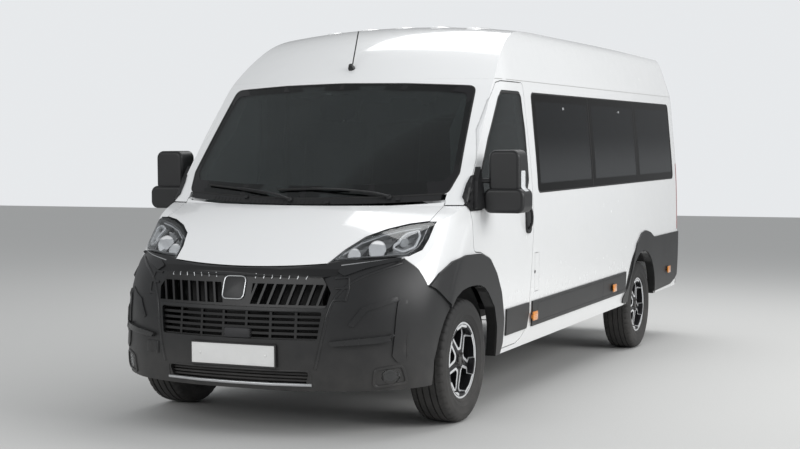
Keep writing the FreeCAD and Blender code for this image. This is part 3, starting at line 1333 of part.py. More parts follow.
def passenger_seats():
    """Rows of two seats on the left and one on the right of the aisle."""
    seats = []
    y = FIRST_ROW_Y
    while y + SEAT_LENGTH + SEAT_SHELL * 3 < BODY_TAIL_Y - WALL:
        for x in (AISLE_HALF + SEAT_WIDTH * 0.5, -AISLE_HALF - SEAT_WIDTH * 0.5):
            seats.append(seat(x, y, FLOOR_Z))
        y = y + ROW_PITCH
    return Part.makeCompound(seats)


def grab_poles():
    """The pole by the sliding door with its slanted grab bar and its second post."""
    out_top = vec(POLE_OUT_X, POLE_Y, POLE_TOP_Z)
    out_foot = vec(POLE_OUT_X, POLE_Y, FLOOR_Z)
    in_top = vec(POLE_IN_X, POLE_Y, POLE_BAR_FOOT_Z)
    in_foot = vec(POLE_IN_X, POLE_Y, FLOOR_Z)
    bar_top = vec(POLE_OUT_X, POLE_Y, POLE_BAR_TOP_Z)
    knee = Part.makeSphere(POLE_RADIUS, in_top)
    return joined([rod(POLE_RADIUS, out_foot, out_top), rod(POLE_RADIUS, in_foot, in_top),
                   rod(POLE_RADIUS, bar_top, in_top), knee])


def dashboard():
    """The dashboard across the cab, with the steering column."""
    front = WALL + FLOOR_THICK
    outline = [(front + SEAT_GAP, SCREEN_FOOT_Z - WALL * 7),
               (front + SEAT_GAP, SCREEN_FOOT_Z - WALL * 1.2),
               (STEERING_WHEEL_Y * 0.55, SCREEN_FOOT_Z - WALL),
               (STEERING_WHEEL_Y * 0.8, SCREEN_FOOT_Z - WALL * 3),
               (STEERING_WHEEL_Y * 0.74, SCREEN_FOOT_Z - WALL * 7)]
    half = HALF_WIDTH - WALL * 3
    panel = side_prism(outline, -half, half, FLOOR_THICK / 2)
    axis = wheel_axis()
    hub = vec(STEERING_WHEEL_X, STEERING_WHEEL_Y, STEERING_WHEEL_Z)
    column = rod(FLOOR_THICK * 0.8, hub - axis * (STEERING_WHEEL_RADIUS * 1.5),
                 hub - axis * (STEERING_WHEEL_GRIP * 2.4 + SEAT_GAP))
    return joined([panel, column])


def wheel_axis():
    """Direction of the steering column, up towards the driver."""
    tilt = math.radians(90 - STEERING_WHEEL_TILT_DEGREES)
    return vec(0, math.cos(tilt), math.sin(tilt))


def steering_wheel():
    axis = wheel_axis()
    hub = vec(STEERING_WHEEL_X, STEERING_WHEEL_Y, STEERING_WHEEL_Z)
    grip = Part.makeTorus(STEERING_WHEEL_RADIUS - STEERING_WHEEL_GRIP, STEERING_WHEEL_GRIP,
                          hub, axis)
    boss = rod(STEERING_WHEEL_RADIUS * 0.33, hub - axis * STEERING_WHEEL_GRIP * 2.4, hub)
    spokes = []
    across = vec(1, 0, 0)
    down = across.cross(axis)
    reach = STEERING_WHEEL_RADIUS - STEERING_WHEEL_GRIP
    for direction in (across, across * -1, down):
        spokes.append(rod(STEERING_WHEEL_GRIP * 0.7, hub - axis * STEERING_WHEEL_GRIP * 0.8,
                          hub + direction * reach))
    return joined([grip, boss] + spokes)


# Doors

def door_pin(gap):
    """The hinge pin in the front edge of the left cab door, grown by the gap."""
    return rod(DOOR_PIN_RADIUS + gap, vec(DOOR_HINGE_X, DOOR_HINGE_Y, DOOR_PIN_FOOT_Z - gap),
               vec(DOOR_HINGE_X, DOOR_HINGE_Y, DOOR_PIN_TOP_Z))


def cab_door(forms):
    """The left cab door, as thick as the body wall, with its window cut and its pin."""
    panel = largest(forms.shell.common(door_prism(0)).cut(door_glass_prism(0)))
    return joined([panel, door_pin(0)])


def cab_door_glass(forms):
    return largest(forms.pane.common(door_glass_prism(-SEAT_GAP)))


def mirror_lobe(x0, x1, z0, z1, y0, y1):
    """One lobe of the mirror housing, its corners and its front edge rounded."""
    outline = [(x0, z0), (x1, z0), (x1, z1), (x0, z1)]
    lobe = front_prism(outline, y0, y1, MIRROR_CORNER)
    front = [edge for edge in lobe.Edges if edge.BoundBox.YMax < y0 + SEAT_GAP]
    return lobe.makeFillet(MIRROR_EDGE, front)


def mirror_foot(forms):
    """The foot of the mirror on the front corner of the door."""
    top = MIRROR_TOP_Z - WALL * 1.5
    rear = MIRROR_FRONT_Y
    outline = [(DOOR_FRONT_Y, BULGE_FOOT_Z + WALL / 2), (rear, BULGE_FOOT_Z + WALL / 2),
               (rear, top), (rear - WALL, top), (DOOR_FRONT_Y + WALL / 2, MIRROR_WAIST_Z)]
    block = side_prism(outline, HALF_WIDTH * 0.8, HALF_WIDTH + MIRROR_FOOT_PROUD, FLOOR_THICK / 2)
    skin = moved(forms.outer, vec(MIRROR_FOOT_PROUD, 0, 0))
    return largest(block.common(skin).common(door_prism(-PANEL_GAP)).cut(forms.outer))


def door_mirror(forms):
    """The left mirror: housing of two lobes, two arms and the foot on the door."""
    rear = MIRROR_FRONT_Y + MIRROR_DEPTH
    head = mirror_lobe(MIRROR_IN_X, MIRROR_OUT_X, MIRROR_WAIST_Z, MIRROR_TOP_Z,
                       MIRROR_FRONT_Y, rear)
    bulge = mirror_lobe(BULGE_IN_X, BULGE_OUT_X, BULGE_FOOT_Z, BULGE_TOP_Z,
                        MIRROR_FRONT_Y - MIRROR_EDGE, rear - MIRROR_EDGE / 2)
    arm_y = MIRROR_FRONT_Y - MIRROR_EDGE / 2
    thin_z = MIRROR_TOP_Z - WALL * 3.3
    thin = rod(MIRROR_ARM_RADIUS, vec(HALF_WIDTH * 0.9, arm_y - WALL / 2, thin_z),
               vec(MIRROR_IN_X + WALL, arm_y + WALL, thin_z))
    thick_z = (BULGE_FOOT_Z + BULGE_TOP_Z) / 2
    thick = rod(MIRROR_ARM_RADIUS * 2.4, vec(HALF_WIDTH * 0.9, arm_y - WALL / 2, thick_z),
                vec(BULGE_IN_X + WALL, arm_y + WALL, thick_z))
    return joined([head, bulge, thin, thick, mirror_foot(forms)]).cut(forms.outer)


def door_handle(forms):
    """The tall oval handle of the cab door."""
    rear = HANDLE_FRONT_Y + HANDLE_LENGTH
    outline = [(HANDLE_FRONT_Y, HANDLE_FOOT_Z), (rear, HANDLE_FOOT_Z), (rear, HANDLE_TOP_Z),
               (HANDLE_FRONT_Y, HANDLE_TOP_Z)]
    return largest(forms.trim.common(side_prism(outline, 0, FAR, HANDLE_CORNER)))


def door_trim(forms):
    """The mirror, the handle and the rub strip of the left cab door."""
    strip = box(0, FAR, DOOR_FRONT_Y + (DOOR_REAR_Y - DOOR_FRONT_Y) * 0.51,
                DOOR_REAR_Y - WALL * 2, DOOR_SILL_Z + WALL * 1.3, DOOR_SILL_Z + WALL * 4.3)
    strip = largest(forms.trim.common(strip).common(door_prism(-PANEL_GAP)))
    return Part.makeCompound([door_mirror(forms), strip, door_handle(forms)])


def sliding_door(forms):
    """The sliding door on the right, in its closed place."""
    cuts = [slide_window_prism(0)]
    left = largest(forms.shell.common(slide_prism(0)).cut(cuts))
    return mirrored(left)


def side_glass(forms):
    """The bonded glass of both sides, with the sliding door's pane."""
    left = largest(forms.pane.common(side_window_prism(-SEAT_GAP)))
    slide = largest(forms.pane.common(slide_window_prism(-SEAT_GAP)))
    quarter = largest(forms.pane.common(quarter_window_prism(-SEAT_GAP)))
    return Part.makeCompound([left, mirrored(slide), mirrored(quarter)])


def tail_door_prism(gap):
    """The left rear door seen from behind."""
    outline = [(PANEL_GAP / 2 - gap, TAIL_DOOR_SILL_Z - gap),
               (TAIL_DOOR_HALF_WIDTH + gap, TAIL_DOOR_SILL_Z - gap),
               (TAIL_DOOR_HALF_WIDTH + gap, GUTTER_Z),
               (TAIL_DOOR_HALF_WIDTH - WALL + gap, TAIL_DOOR_TOP_Z + gap),
               (PANEL_GAP / 2 - gap, TAIL_DOOR_TOP_Z + gap)]
    return front_prism(outline, BODY_TAIL_Y - WALL * 2, TAIL_Y + OVERRUN)


def tail_glass_prism(gap):
    outline = [(WALL * 2 - gap, TAIL_GLASS_SILL_Z - gap),
               (TAIL_DOOR_HALF_WIDTH - WALL * 2 + gap, TAIL_GLASS_SILL_Z - gap),
               (TAIL_DOOR_HALF_WIDTH - WALL * 2 + gap, TAIL_GLASS_TOP_Z + gap),
               (WALL * 2 - gap, TAIL_GLASS_TOP_Z + gap)]
    return front_prism(outline, BODY_TAIL_Y - WALL * 2, TAIL_Y + OVERRUN, WALL)


def tail_hinge_barrel(z, radius, half):
    """A round bar on the hinge line of the left rear door, about one height."""
    return rod(radius, vec(TAIL_HINGE_X, TAIL_HINGE_Y, z - half),
               vec(TAIL_HINGE_X, TAIL_HINGE_Y, z + half))


def tail_hinge_brackets():
    """The pins of the left rear door with the brackets that hold their ends."""
    pieces = []
    for z in TAIL_HINGE_HEIGHTS:
        end = TAIL_HINGE_HALF + TAIL_HINGE_BRACKET
        barrel = tail_hinge_barrel(z, TAIL_HINGE_RADIUS, end)
        foot = box(TAIL_HINGE_X, TAIL_HINGE_X + FLOOR_THICK, BODY_TAIL_Y - WALL / 3,
                   TAIL_HINGE_Y, z - end, z + end)
        room = box(TAIL_HINGE_X - WALL, TAIL_HINGE_X + WALL, BODY_TAIL_Y - WALL,
                   BODY_TAIL_Y + WALL, z - TAIL_HINGE_HALF - SEAT_GAP,
                   z + TAIL_HINGE_HALF + SEAT_GAP)
        pin = tail_hinge_barrel(z, TAIL_PIN_RADIUS, TAIL_HINGE_HALF + SEAT_GAP)
        pieces.append(joined([joined([barrel, foot]).cut(room), pin]))
    return pieces


def tail_hinge_leaf(z):
    """The barrel and leaf of one hinge on the left rear door."""
    low = z - TAIL_HINGE_HALF
    high = z + TAIL_HINGE_HALF
    barrel = tail_hinge_barrel(z, TAIL_HINGE_RADIUS, TAIL_HINGE_HALF)
    leaf = box(TAIL_HINGE_X - WALL, TAIL_HINGE_X, BODY_TAIL_Y + SEAT_GAP * 2, TAIL_HINGE_Y,
               low, high)
    root = box(TAIL_HINGE_X - WALL, TAIL_DOOR_HALF_WIDTH - SEAT_GAP, BODY_TAIL_Y - WALL / 4,
               TAIL_HINGE_Y, low, high)
    bore = tail_hinge_barrel(z, TAIL_PIN_RADIUS + SEAT_GAP, TAIL_HINGE_HALF + SEAT_GAP)
    return joined([barrel, leaf, root]).cut(bore)


def tail_door(forms):
    """The left rear door with its window cut and its three hinge leaves."""
    panel = largest(forms.shell.common(tail_door_prism(0)).cut(tail_glass_prism(0)))
    return joined([panel] + [tail_hinge_leaf(z) for z in TAIL_HINGE_HEIGHTS])


def tail_glass(forms):
    return largest(forms.pane.common(tail_glass_prism(-SEAT_GAP)))


def tail_lamps(forms):
    """The upright lamps in the rear corners."""
    lamp = largest(forms.shell.common(tail_lamp_prism(0)))
    return pair(lamp)


def rear_bumper():
    """The bumper with its step under the rear doors."""
    half = HALF_WIDTH - WALL * 0.6
    outline = [(-half, BODY_TAIL_Y + SEAT_GAP), (half, BODY_TAIL_Y + SEAT_GAP),
               (half - BODY_CORNER_RADIUS, TAIL_Y), (BODY_CORNER_RADIUS - half, TAIL_Y)]
    return plan_prism(outline, TAIL_BUMPER_FOOT_Z, TAIL_BUMPER_TOP_Z)


def rear_frame(forms, base):
    """The sill under the rear doors."""
    half = TAIL_DOOR_HALF_WIDTH + PANEL_GAP - SEAT_GAP
    return largest(base.common(box(-half, half, BODY_TAIL_Y - WALL * 2, TAIL_Y,
                                   DOOR_SILL_Z, TAIL_DOOR_SILL_Z - PANEL_GAP)))


def fuel_flap(forms):
    """The fuel flap, a sheet in the body's own surface, with its hinge pin."""
    sheet = largest(forms.pane.common(flap_prism(-PANEL_GAP / 2)))
    return joined([sheet, flap_pin(0)])


def flap_pin(gap):
    """The upright hinge pin of the fuel flap, grown by the gap."""
    depth = FLAP_PIN_DEPTH + gap
    return rod(FLAP_PIN_RADIUS + gap, vec(FLAP_HINGE_X, FLAP_HINGE_Y, FLAP_FOOT_Z - depth),
               vec(FLAP_HINGE_X, FLAP_HINGE_Y, FLAP_TOP_Z + depth))


def roof_normal():
    """The direction out of the dome where the antenna stands."""
    slope = math.radians(ANTENNA_SLOPE_DEGREES)
    return vec(0, -math.sin(slope), math.cos(slope))


def antenna_foot(gap):
    """The round foot of the antenna, through the roof, grown by the gap."""
    base = vec(0, ANTENNA_Y, ANTENNA_Z)
    normal = roof_normal()
    return rod(ANTENNA_FOOT_RADIUS + gap, base - normal * (WALL / 2 + gap),
               base + normal * (ANTENNA_FOOT_HEIGHT / 3))


def antenna():
    """The short roof antenna on its foot, leaning back."""
    base = vec(0, ANTENNA_Y, ANTENNA_Z)
    mast = rod(ANTENNA_RADIUS, base, base + vec(0, ANTENNA_LEAN, ANTENNA_LENGTH))
    normal = roof_normal()
    dome = Part.makeCone(ANTENNA_FOOT_RADIUS, ANTENNA_RADIUS * 3, ANTENNA_FOOT_HEIGHT * 2 / 3,
                         base + normal * (ANTENNA_FOOT_HEIGHT / 3), normal)
    return joined([antenna_foot(0), dome, mast])


def place(shape):
    """From the level body to the ground: nose down by the rake, origin in the middle."""
    piece = shape.copy()
    piece.rotate(vec(0, 0, TYRE_RADIUS), vec(1, 0, 0), RAKE_DEGREES)
    piece.translate(vec(0, -MIDDLE_Y, 0))
    return piece


def build():
    """All nodes by name."""
    forms = Forms()
    base = body_shell_below(forms)
    nodes = {}
    nodes["roof_panel"] = roof_panel(forms)
    nodes["side_panel_left"] = side_panel(base, forms, 1)
    nodes["side_panel_right"] = side_panel(base, forms, -1)
    nodes["front_wings"] = pair(front_wing(base, forms))
    nodes["floor_pan"] = floor_pan(forms)
    nodes["rear_sill"] = rear_frame(forms, base)
    nodes["windscreen"] = windscreen(forms)
    nodes["side_glass"] = side_glass(forms)
    nodes["cowl_tray"] = cowl_tray(forms)
    nodes["front_bumper"] = front_bumper(forms)
    nodes["grilles"] = grilles()
    nodes["front_lamps"] = front_lamps(forms)
    nodes["number_plate"] = number_plate()
    nodes["front_arch_trims"] = pair(front_arch_trim(forms))
    nodes["front_arch_liners"] = pair(arch_liner(forms))
    nodes["side_mouldings"] = side_mouldings(forms)
    nodes["marker_lamps"] = marker_lamps(forms)
    nodes["rear_quarter_trims"] = pair(rear_quarter_trim(forms))
    nodes["rear_bumper"] = rear_bumper()
    nodes["tail_lamps"] = tail_lamps(forms)
    nodes["sliding_door"] = sliding_door(forms)
    nodes["chassis"] = chassis()
    nodes["front_subframe"] = front_subframe()
    nodes["strut_towers"] = pair(strut_tower())
    nodes["engine_block"] = engine_block()
    nodes["radiator"] = radiator()
    nodes["rear_axle"] = rear_axle()
    nodes["fuel_tank"] = fuel_tank()
    nodes["exhaust"] = exhaust()
    nodes["spare_wheel"] = spare_wheel()
    nodes["grab_poles"] = grab_poles()
    nodes["dashboard"] = dashboard()
    nodes["steering_wheel"] = steering_wheel()
    nodes["front_seats"] = front_seats()
    nodes["passenger_seats"] = passenger_seats()
    nodes["antenna"] = antenna()
    nodes["bonnet"] = bonnet(forms)
    nodes["fuel_flap"] = fuel_flap(forms)
    sided = {"cab_door": cab_door(forms), "cab_door_glass": cab_door_glass(forms),
             "cab_door_trim": door_trim(forms), "rear_door": tail_door(forms),
             "rear_door_glass": tail_glass(forms), "knuckle": knuckle()}
    front = vec(FRONT_WHEEL_X, 0, TYRE_RADIUS)
    rear = vec(REAR_WHEEL_X, REAR_AXLE_Y, REAR_AXLE_Z)
    for name, shape in (("tyre", tyre()), ("rim", rim())):
        sided[name + "_front"] = moved(shape, front)
        sided[name + "_rear"] = moved(shape, rear)
    for name, shape in sided.items():
        nodes[name + "_left"] = shape
        nodes[name + "_right"] = mirrored(shape)
    return nodes


def main():
    os.makedirs("parts", exist_ok=True)
    for name, shape in build().items():
        placed = place(shape)
        print(name, len(placed.Solids))
        placed.exportStep("parts/" + name + ".step")


if __name__ == "__main__":
    main()
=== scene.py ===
# %% [markdown]
# # A white minibus
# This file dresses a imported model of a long, high-roofed minibus in finishes and fine pieces.
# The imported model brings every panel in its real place, in metres, with the front towards -Y.
# Each step below says what a piece is on the real vehicle and how it is made here.

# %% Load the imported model
import math
import bmesh
import bpy
from mathutils import Matrix, Vector
from mathutils.bvhtree import BVHTree
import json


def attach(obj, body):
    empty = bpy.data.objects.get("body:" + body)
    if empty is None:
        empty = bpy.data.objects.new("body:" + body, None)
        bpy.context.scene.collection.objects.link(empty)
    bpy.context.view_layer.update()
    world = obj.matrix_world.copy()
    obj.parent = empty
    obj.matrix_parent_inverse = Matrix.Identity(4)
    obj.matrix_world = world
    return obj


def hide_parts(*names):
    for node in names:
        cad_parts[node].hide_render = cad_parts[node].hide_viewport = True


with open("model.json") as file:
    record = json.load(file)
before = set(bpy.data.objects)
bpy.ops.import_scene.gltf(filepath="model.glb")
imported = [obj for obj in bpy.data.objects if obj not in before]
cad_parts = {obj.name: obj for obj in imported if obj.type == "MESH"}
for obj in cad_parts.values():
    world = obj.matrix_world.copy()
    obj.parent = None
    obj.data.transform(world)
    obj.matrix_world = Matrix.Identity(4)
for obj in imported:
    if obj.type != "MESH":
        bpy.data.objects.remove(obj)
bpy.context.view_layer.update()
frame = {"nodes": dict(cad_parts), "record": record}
nodes = frame["nodes"]

# %% [markdown]
# ## Two ways to name a point
# A designer measures a vehicle on its own level: x to its left, y back from the front axle and z up
# from the ground under the front wheels. The vehicle stands a little nose down, so that level frame
# is turned about the front axle and moved back by half the length. One matrix does both, and every
# piece below is measured on the level and then carried over with it.

# %% The level of the body
MM = 0.001
MIDDLE_Y = 2233.5
AXLE_Z = 360
RAKE = math.radians(1.3)
LEVEL = (Matrix.Translation((0, -MIDDLE_Y * MM, AXLE_Z * MM)) @ Matrix.Rotation(RAKE, 4, "X")
         @ Matrix.Translation((0, 0, -AXLE_Z * MM)))
REAR_AXLE_Y = 4033.96
REAR_AXLE_Z = 268.46


def at(x, y, z):
    """A point of the level body, given in millimetres, as metres on the ground frame."""
    return LEVEL @ Vector((x * MM, y * MM, z * MM))


def along(x, y, z):
    """A direction of the level body on the ground frame."""
    return (LEVEL.to_3x3() @ Vector((x, y, z))).normalized()


LEFTWARD, REARWARD = along(1, 0, 0), along(0, 1, 0)
UPWARD, FORWARD = along(0, 0, 1), along(0, -1, 0)
print("front axle at", tuple(round(v, 3) for v in at(0, 0, AXLE_Z)))

# %% [markdown]
# ## The camera
# The camera stands where the photographer stood: ahead of the vehicle, to its left, a little above
# the height of the lamps. Its place and its long lens were worked out from the wheels and the nose.

# %% Camera
CAMERA_SPOT = Vector((4.05286, -10.15197, 1.44709))
AZIMUTH, ELEVATION, ROLL = (math.radians(a) for a in (23.680, 2.022, 0.2048))

camera_data = bpy.data.cameras.new("camera")
camera_data.sensor_width = 36
camera_data.lens = 65.95
camera_data.clip_end = 200
camera = bpy.data.objects.new("camera", camera_data)
bpy.context.collection.objects.link(camera)
back = Vector((math.sin(AZIMUTH) * math.cos(ELEVATION), -math.cos(AZIMUTH) * math.cos(ELEVATION),
               math.sin(ELEVATION)))
right = Vector((0, 0, 1)).cross(back).normalized()
up = back.cross(right)
turned_right = right * math.cos(ROLL) + up * math.sin(ROLL)
turned_up = up * math.cos(ROLL) - right * math.sin(ROLL)
camera.matrix_world = Matrix.Translation(CAMERA_SPOT) @ Matrix(
    (turned_right, turned_up, back)).transposed().to_4x4()
bpy.context.scene.camera = camera
print("camera at", tuple(round(v, 2) for v in CAMERA_SPOT))

# %% [markdown]
# ## Shader sums as Python sums
# A finish is a tree of small nodes. Wiring them one by one is slow to read, so one class holds an
# output socket and lets the usual signs make the Math nodes, and another holds a material with one
# method that makes any other node.


# %% A socket that can be summed
class Wire:
    """One output socket; +, -, * and ** with numbers or other wires add Math nodes."""

    def __init__(self, finish, socket):
        self.finish = finish
        self.socket = socket

    def sum(self, operation, first, second=None):
        values = {0: first} if second is None else {0: first, 1: second}
        return self.finish.node("ShaderNodeMath", {"operation": operation}, values)

    def __add__(self, other):
        return self.sum("ADD", self, other)

    def __radd__(self, other):
        return self.sum("ADD", other, self)

    def __sub__(self, other):
        return self.sum("SUBTRACT", self, other)

    def __rsub__(self, other):
        return self.sum("SUBTRACT", other, self)

    def __mul__(self, other):
        return self.sum("MULTIPLY", self, other)

    def __rmul__(self, other):
        return self.sum("MULTIPLY", other, self)

    def __pow__(self, other):
        return self.sum("POWER", self, other)


# %% A finish, its one node maker and its usual parts
class Finish:
    """One material with its surface shader."""

    def __init__(self, name, **constants):
        self.material = bpy.data.materials.new(name)
        self.material.use_nodes = True
        self.tree = self.material.node_tree
        self.shader = self.tree.nodes["Principled BSDF"]
        for key, value in constants.items():
            self.shader.inputs[key.replace("_", " ")].default_value = value

    def node(self, kind, settings, values, output=0):
        made = self.tree.nodes.new(kind)
        for key, value in settings.items():
            setattr(made, key, value)
        for key, value in values.items():
            self.feed(made.inputs[key], value)
        return Wire(self, made.outputs[output])

    def feed(self, socket, value):
        if isinstance(value, Wire):
            self.tree.links.new(value.socket, socket)
        else:
            socket.default_value = value

    def place(self):
        """The point on the surface in metres, the same for every piece."""
        return self.node("ShaderNodeTexCoord", {}, {}, "Object")

    def axis(self, letter):
        return self.node("ShaderNodeSeparateXYZ", {}, {0: self.place()}, letter)

    def noise(self, scale, detail=2.0):
        """Even cloudy noise from 0 to 1."""
        return self.node("ShaderNodeTexNoise", {}, {"Vector": self.place(), "Scale": scale,
                                                    "Detail": detail})

    def step(self, value, low, high):
        """0 below low, 1 above high and smooth between them."""
        return self.node("ShaderNodeMapRange", {"interpolation_type": "SMOOTHSTEP"},
                         {"Value": value, "From Min": low, "From Max": high})

    def blend(self, share, first, second):
        """A colour between two colours."""
        return self.node("ShaderNodeMix", {"data_type": "RGBA"},
                         {"Factor": share, 6: first, 7: second}, 2)

    def bump(self, height, depth, strength=1.0):
        """Feeds a height, from 0 to 1, as a bump of that depth in metres."""
        normal = self.node("ShaderNodeBump", {}, {"Height": height, "Distance": depth,
                                                  "Strength": strength})
        self.feed(self.shader.inputs["Normal"], normal)

    def set(self, **wires):
        for key, value in wires.items():
            self.feed(self.shader.inputs[key.replace("_", " ")], value)


def colour(r, g, b):
    return (r, g, b, 1.0)


# %% [markdown]
# ## Body paint
# A van's white is a plain solid colour under a clear coat. What tells paint from plastic is the
# sharp, faintly rippled reflection of the coat, and road dust that settles low on the sides. A
# slow cloud keeps the white from being one flat number. Inside the wheel arches the same panels
# carry dark stone guard, so the colour turns with the distance from each axle.

# %% White paint
white_paint = Finish("white_paint", Coat_Weight=1.0, Coat_Roughness=0.05, Coat_IOR=1.5)
cloud = white_paint.noise(0.9, 3.0)
low = 1 - white_paint.step(white_paint.axis("Z"), 0.30, 0.95)
dust = low * white_paint.noise(2.4, 3.0) * 0.30
reach = []
for y, z in ((0, AXLE_Z), (REAR_AXLE_Y, REAR_AXLE_Z)):
    hub = at(0, y, z)
    from_hub = ((white_paint.axis("Y") - hub.y) ** 2 + (white_paint.axis("Z") - hub.z) ** 2) ** 0.5
    reach.append(1 - white_paint.step(from_hub, 0.525, 0.530))
inner_arch = reach[0] + reach[1]
shade = white_paint.blend(cloud, colour(0.84, 0.85, 0.855), colour(0.88, 0.885, 0.885))
dusty = white_paint.blend(dust, shade, colour(0.62, 0.60, 0.57))
white_paint.set(Base_Color=white_paint.blend(inner_arch, dusty, colour(0.012, 0.012, 0.012)),
                Roughness=0.20 + 0.10 * white_paint.noise(14.0, 4.0) + 0.35 * dust
                + 0.4 * inner_arch)
white_paint.bump(white_paint.noise(160.0, 2.0), 0.0001, 0.15)

# %% [markdown]
# ## Moulded plastic
# Bumpers, arches and rub strips are dyed through and moulded with a fine leather-like grain, so
# they look soft and grey in the light and nearly black away from it.


# %% Grained plastics
def grained(name, dark, light, rough, grain=900.0, depth=0.0004):
    """A moulded plastic between two greys, with a fine grain."""
    made = Finish(name)
    speckle = made.noise(grain, 3.0)
    patch = made.noise(3.5, 4.0)
    low = 1 - made.step(made.axis("Z"), 0.20, 0.70)
    dust = low * made.noise(11.0, 5.0) * 0.35
    shade = made.blend(patch * 0.7 + speckle * 0.3, dark, light)
    made.set(Base_Color=made.blend(dust, shade, colour(0.16, 0.15, 0.14)),
             Roughness=rough + 0.12 * patch + 0.2 * dust)
    made.bump(speckle, depth, 0.45)
    return made


dark_plastic = grained("dark_plastic", colour(0.010, 0.0103, 0.011), colour(0.019, 0.0194, 0.0205),
                       0.36)
trim_inside = grained("trim_inside", colour(0.020, 0.020, 0.022), colour(0.035, 0.035, 0.038),
                      0.55, 500.0, 0.0006)
satin_plastic = grained("satin_plastic", colour(0.014, 0.0145, 0.015),
                        colour(0.022, 0.0225, 0.024), 0.20, 700.0, 0.0001)
deep_black = grained("deep_black", colour(0.004, 0.004, 0.0045), colour(0.009, 0.009, 0.0095), 0.34,
                     600.0, 0.0001)
tank_plastic = grained("tank_plastic", colour(0.02, 0.02, 0.021), colour(0.03, 0.03, 0.032), 0.5)
gloss_black = grained("gloss_black", colour(0.008, 0.008, 0.009), colour(0.014, 0.014, 0.015),
                      0.12, 300.0, 0.00005)

# %% [markdown]
# ## Glass
# Seen from outside, car glass is a dark, sharp mirror with the cab showing faintly through. A thin
# pane is a mix of a clear tinted sheet and a mirror, and the mirror grows stronger as the view
# gets flatter, as on real glass. The side band is one long tinted sheet. Its fired black border is
# opaque, and the panes between are a little clearer, so the alpha changes with the place. The
# panes also carry a painted reflection: their colour is lighter towards the bottom.


# %% Panes
def pane(name, tint, floor_share):
    """A clear sheet with a mirror over it that follows the angle of the view."""
    made = Finish(name, Metallic=1.0)
    smear = made.noise(2.2, 5.0)
    made.set(Base_Color=made.blend(smear, colour(0.90, 0.92, 0.92), colour(0.97, 0.98, 0.98)),
             Roughness=0.012 + 0.03 * smear)
    angle = made.node("ShaderNodeFresnel", {}, {"IOR": 1.5})
    through = made.tree.nodes.new("ShaderNodeBsdfTransparent")
    through.inputs["Color"].default_value = tint
    mix = made.tree.nodes.new("ShaderNodeMixShader")
    made.feed(mix.inputs[0], floor_share + angle * 0.62 + 0.02 * smear)
    made.tree.links.new(through.outputs[0], mix.inputs[1])
    made.tree.links.new(made.shader.outputs[0], mix.inputs[2])
    end = next(node for node in made.tree.nodes if node.type == "OUTPUT_MATERIAL")
    made.tree.links.new(mix.outputs[0], end.inputs["Surface"])
    return made


clear_glass = pane("clear_glass", colour(0.36, 0.39, 0.39), 0.02)
lens_glass = pane("lens_glass", colour(0.93, 0.94, 0.95), 0.02)
tinted_glass = Finish("tinted_glass", IOR=1.2, Specular_IOR_Level=0.25)
PANES = ((1352, 2560), (2665, 3850), (3960, 5070))
length = tinted_glass.axis("Y") * 1000 + MIDDLE_Y
height = tinted_glass.axis("Z") * 1000 - length * math.tan(RAKE)
clear = 0.0
for start, end in PANES:
    inside = (tinted_glass.step(length, start, start + 12)
              * (1 - tinted_glass.step(length, end - 12, end)))
    clear = clear + inside
clear = clear * tinted_glass.step(height, 1345, 1357) * (1 - tinted_glass.step(height, 1885, 1897))
smear = tinted_glass.noise(1.8, 5.0)
# Painted reflection: the colour of the panes is lighter towards their foot, like a mirrored
# horizon.
painted_reflection_fade = 1 - tinted_glass.step(height, 1380, 1700)
inner = tinted_glass.blend(painted_reflection_fade, colour(0.010, 0.011, 0.012), colour(0.040, 0.042, 0.044))
tinted_glass.set(Base_Color=tinted_glass.blend(clear, tinted_glass.blend(
                     smear, colour(0.002, 0.002, 0.002), colour(0.004, 0.004, 0.004)), inner),
                 Roughness=0.02 + 0.06 * smear, Alpha=0.998 - 0.10 * clear)

visor_grey = grained("visor_grey", colour(0.30, 0.30, 0.29), colour(0.38, 0.38, 0.37), 0.6, 400.0,
                     0.0004)

# %% [markdown]
# ## Metals
# The rims are cast, painted dark and then turned on a lathe, which leaves bright faces with fine
# rings. The parts under the floor are pressed or cast and dusty.


# %% Metals and rubber
def metal(name, dark, light, rough, scale=30.0, metallic=1.0, depth=0.0002):
    made = Finish(name)
    patch = made.noise(scale, 4.0)
    made.set(Base_Color=made.blend(patch, dark, light), Roughness=rough + 0.15 * patch,
             Metallic=metallic - 0.1 * patch)
    made.bump(made.noise(scale * 12, 3.0), depth, 0.4)
    return made


machined = metal("machined_alloy", colour(0.72, 0.73, 0.74), colour(0.86, 0.87, 0.88), 0.24, 60.0,
                 0.55)
pocket = metal("dark_alloy", colour(0.018, 0.018, 0.020), colour(0.032, 0.032, 0.035), 0.32, 25.0,
               0.55)
chrome = metal("chrome", colour(0.70, 0.71, 0.73), colour(0.88, 0.89, 0.90), 0.04, 18.0, 1.0,
               0.00002)
satin_silver = metal("satin_silver", colour(0.55, 0.56, 0.57), colour(0.70, 0.71, 0.72), 0.25, 20.0,
                     0.8)
lamp_grey = metal("lamp_grey", colour(0.36, 0.365, 0.37), colour(0.52, 0.525, 0.53), 0.24, 30.0,
                  0.75)
mirror_silver = metal("mirror_silver", colour(0.80, 0.81, 0.82), colour(0.90, 0.90, 0.91), 0.01,
                      6.0, 1.0, 0.00001)
cast = metal("cast_iron", colour(0.05, 0.05, 0.052), colour(0.11, 0.105, 0.10), 0.55, 22.0, 0.7,
             0.0008)
engine_alloy = metal("engine_alloy", colour(0.20, 0.20, 0.21), colour(0.32, 0.32, 0.33), 0.45,
                     12.0, 0.8, 0.0008)
exhaust_steel = metal("exhaust_steel", colour(0.16, 0.14, 0.12), colour(0.30, 0.28, 0.26), 0.4,
                      9.0, 0.8)
underbody = grained("underbody", colour(0.012, 0.012, 0.013), colour(0.030, 0.029, 0.028), 0.6,
                    120.0, 0.0008)
tyre_rubber = grained("tyre_rubber", colour(0.012, 0.012, 0.0125), colour(0.024, 0.0235, 0.023),
                      0.62, 260.0, 0.0005)
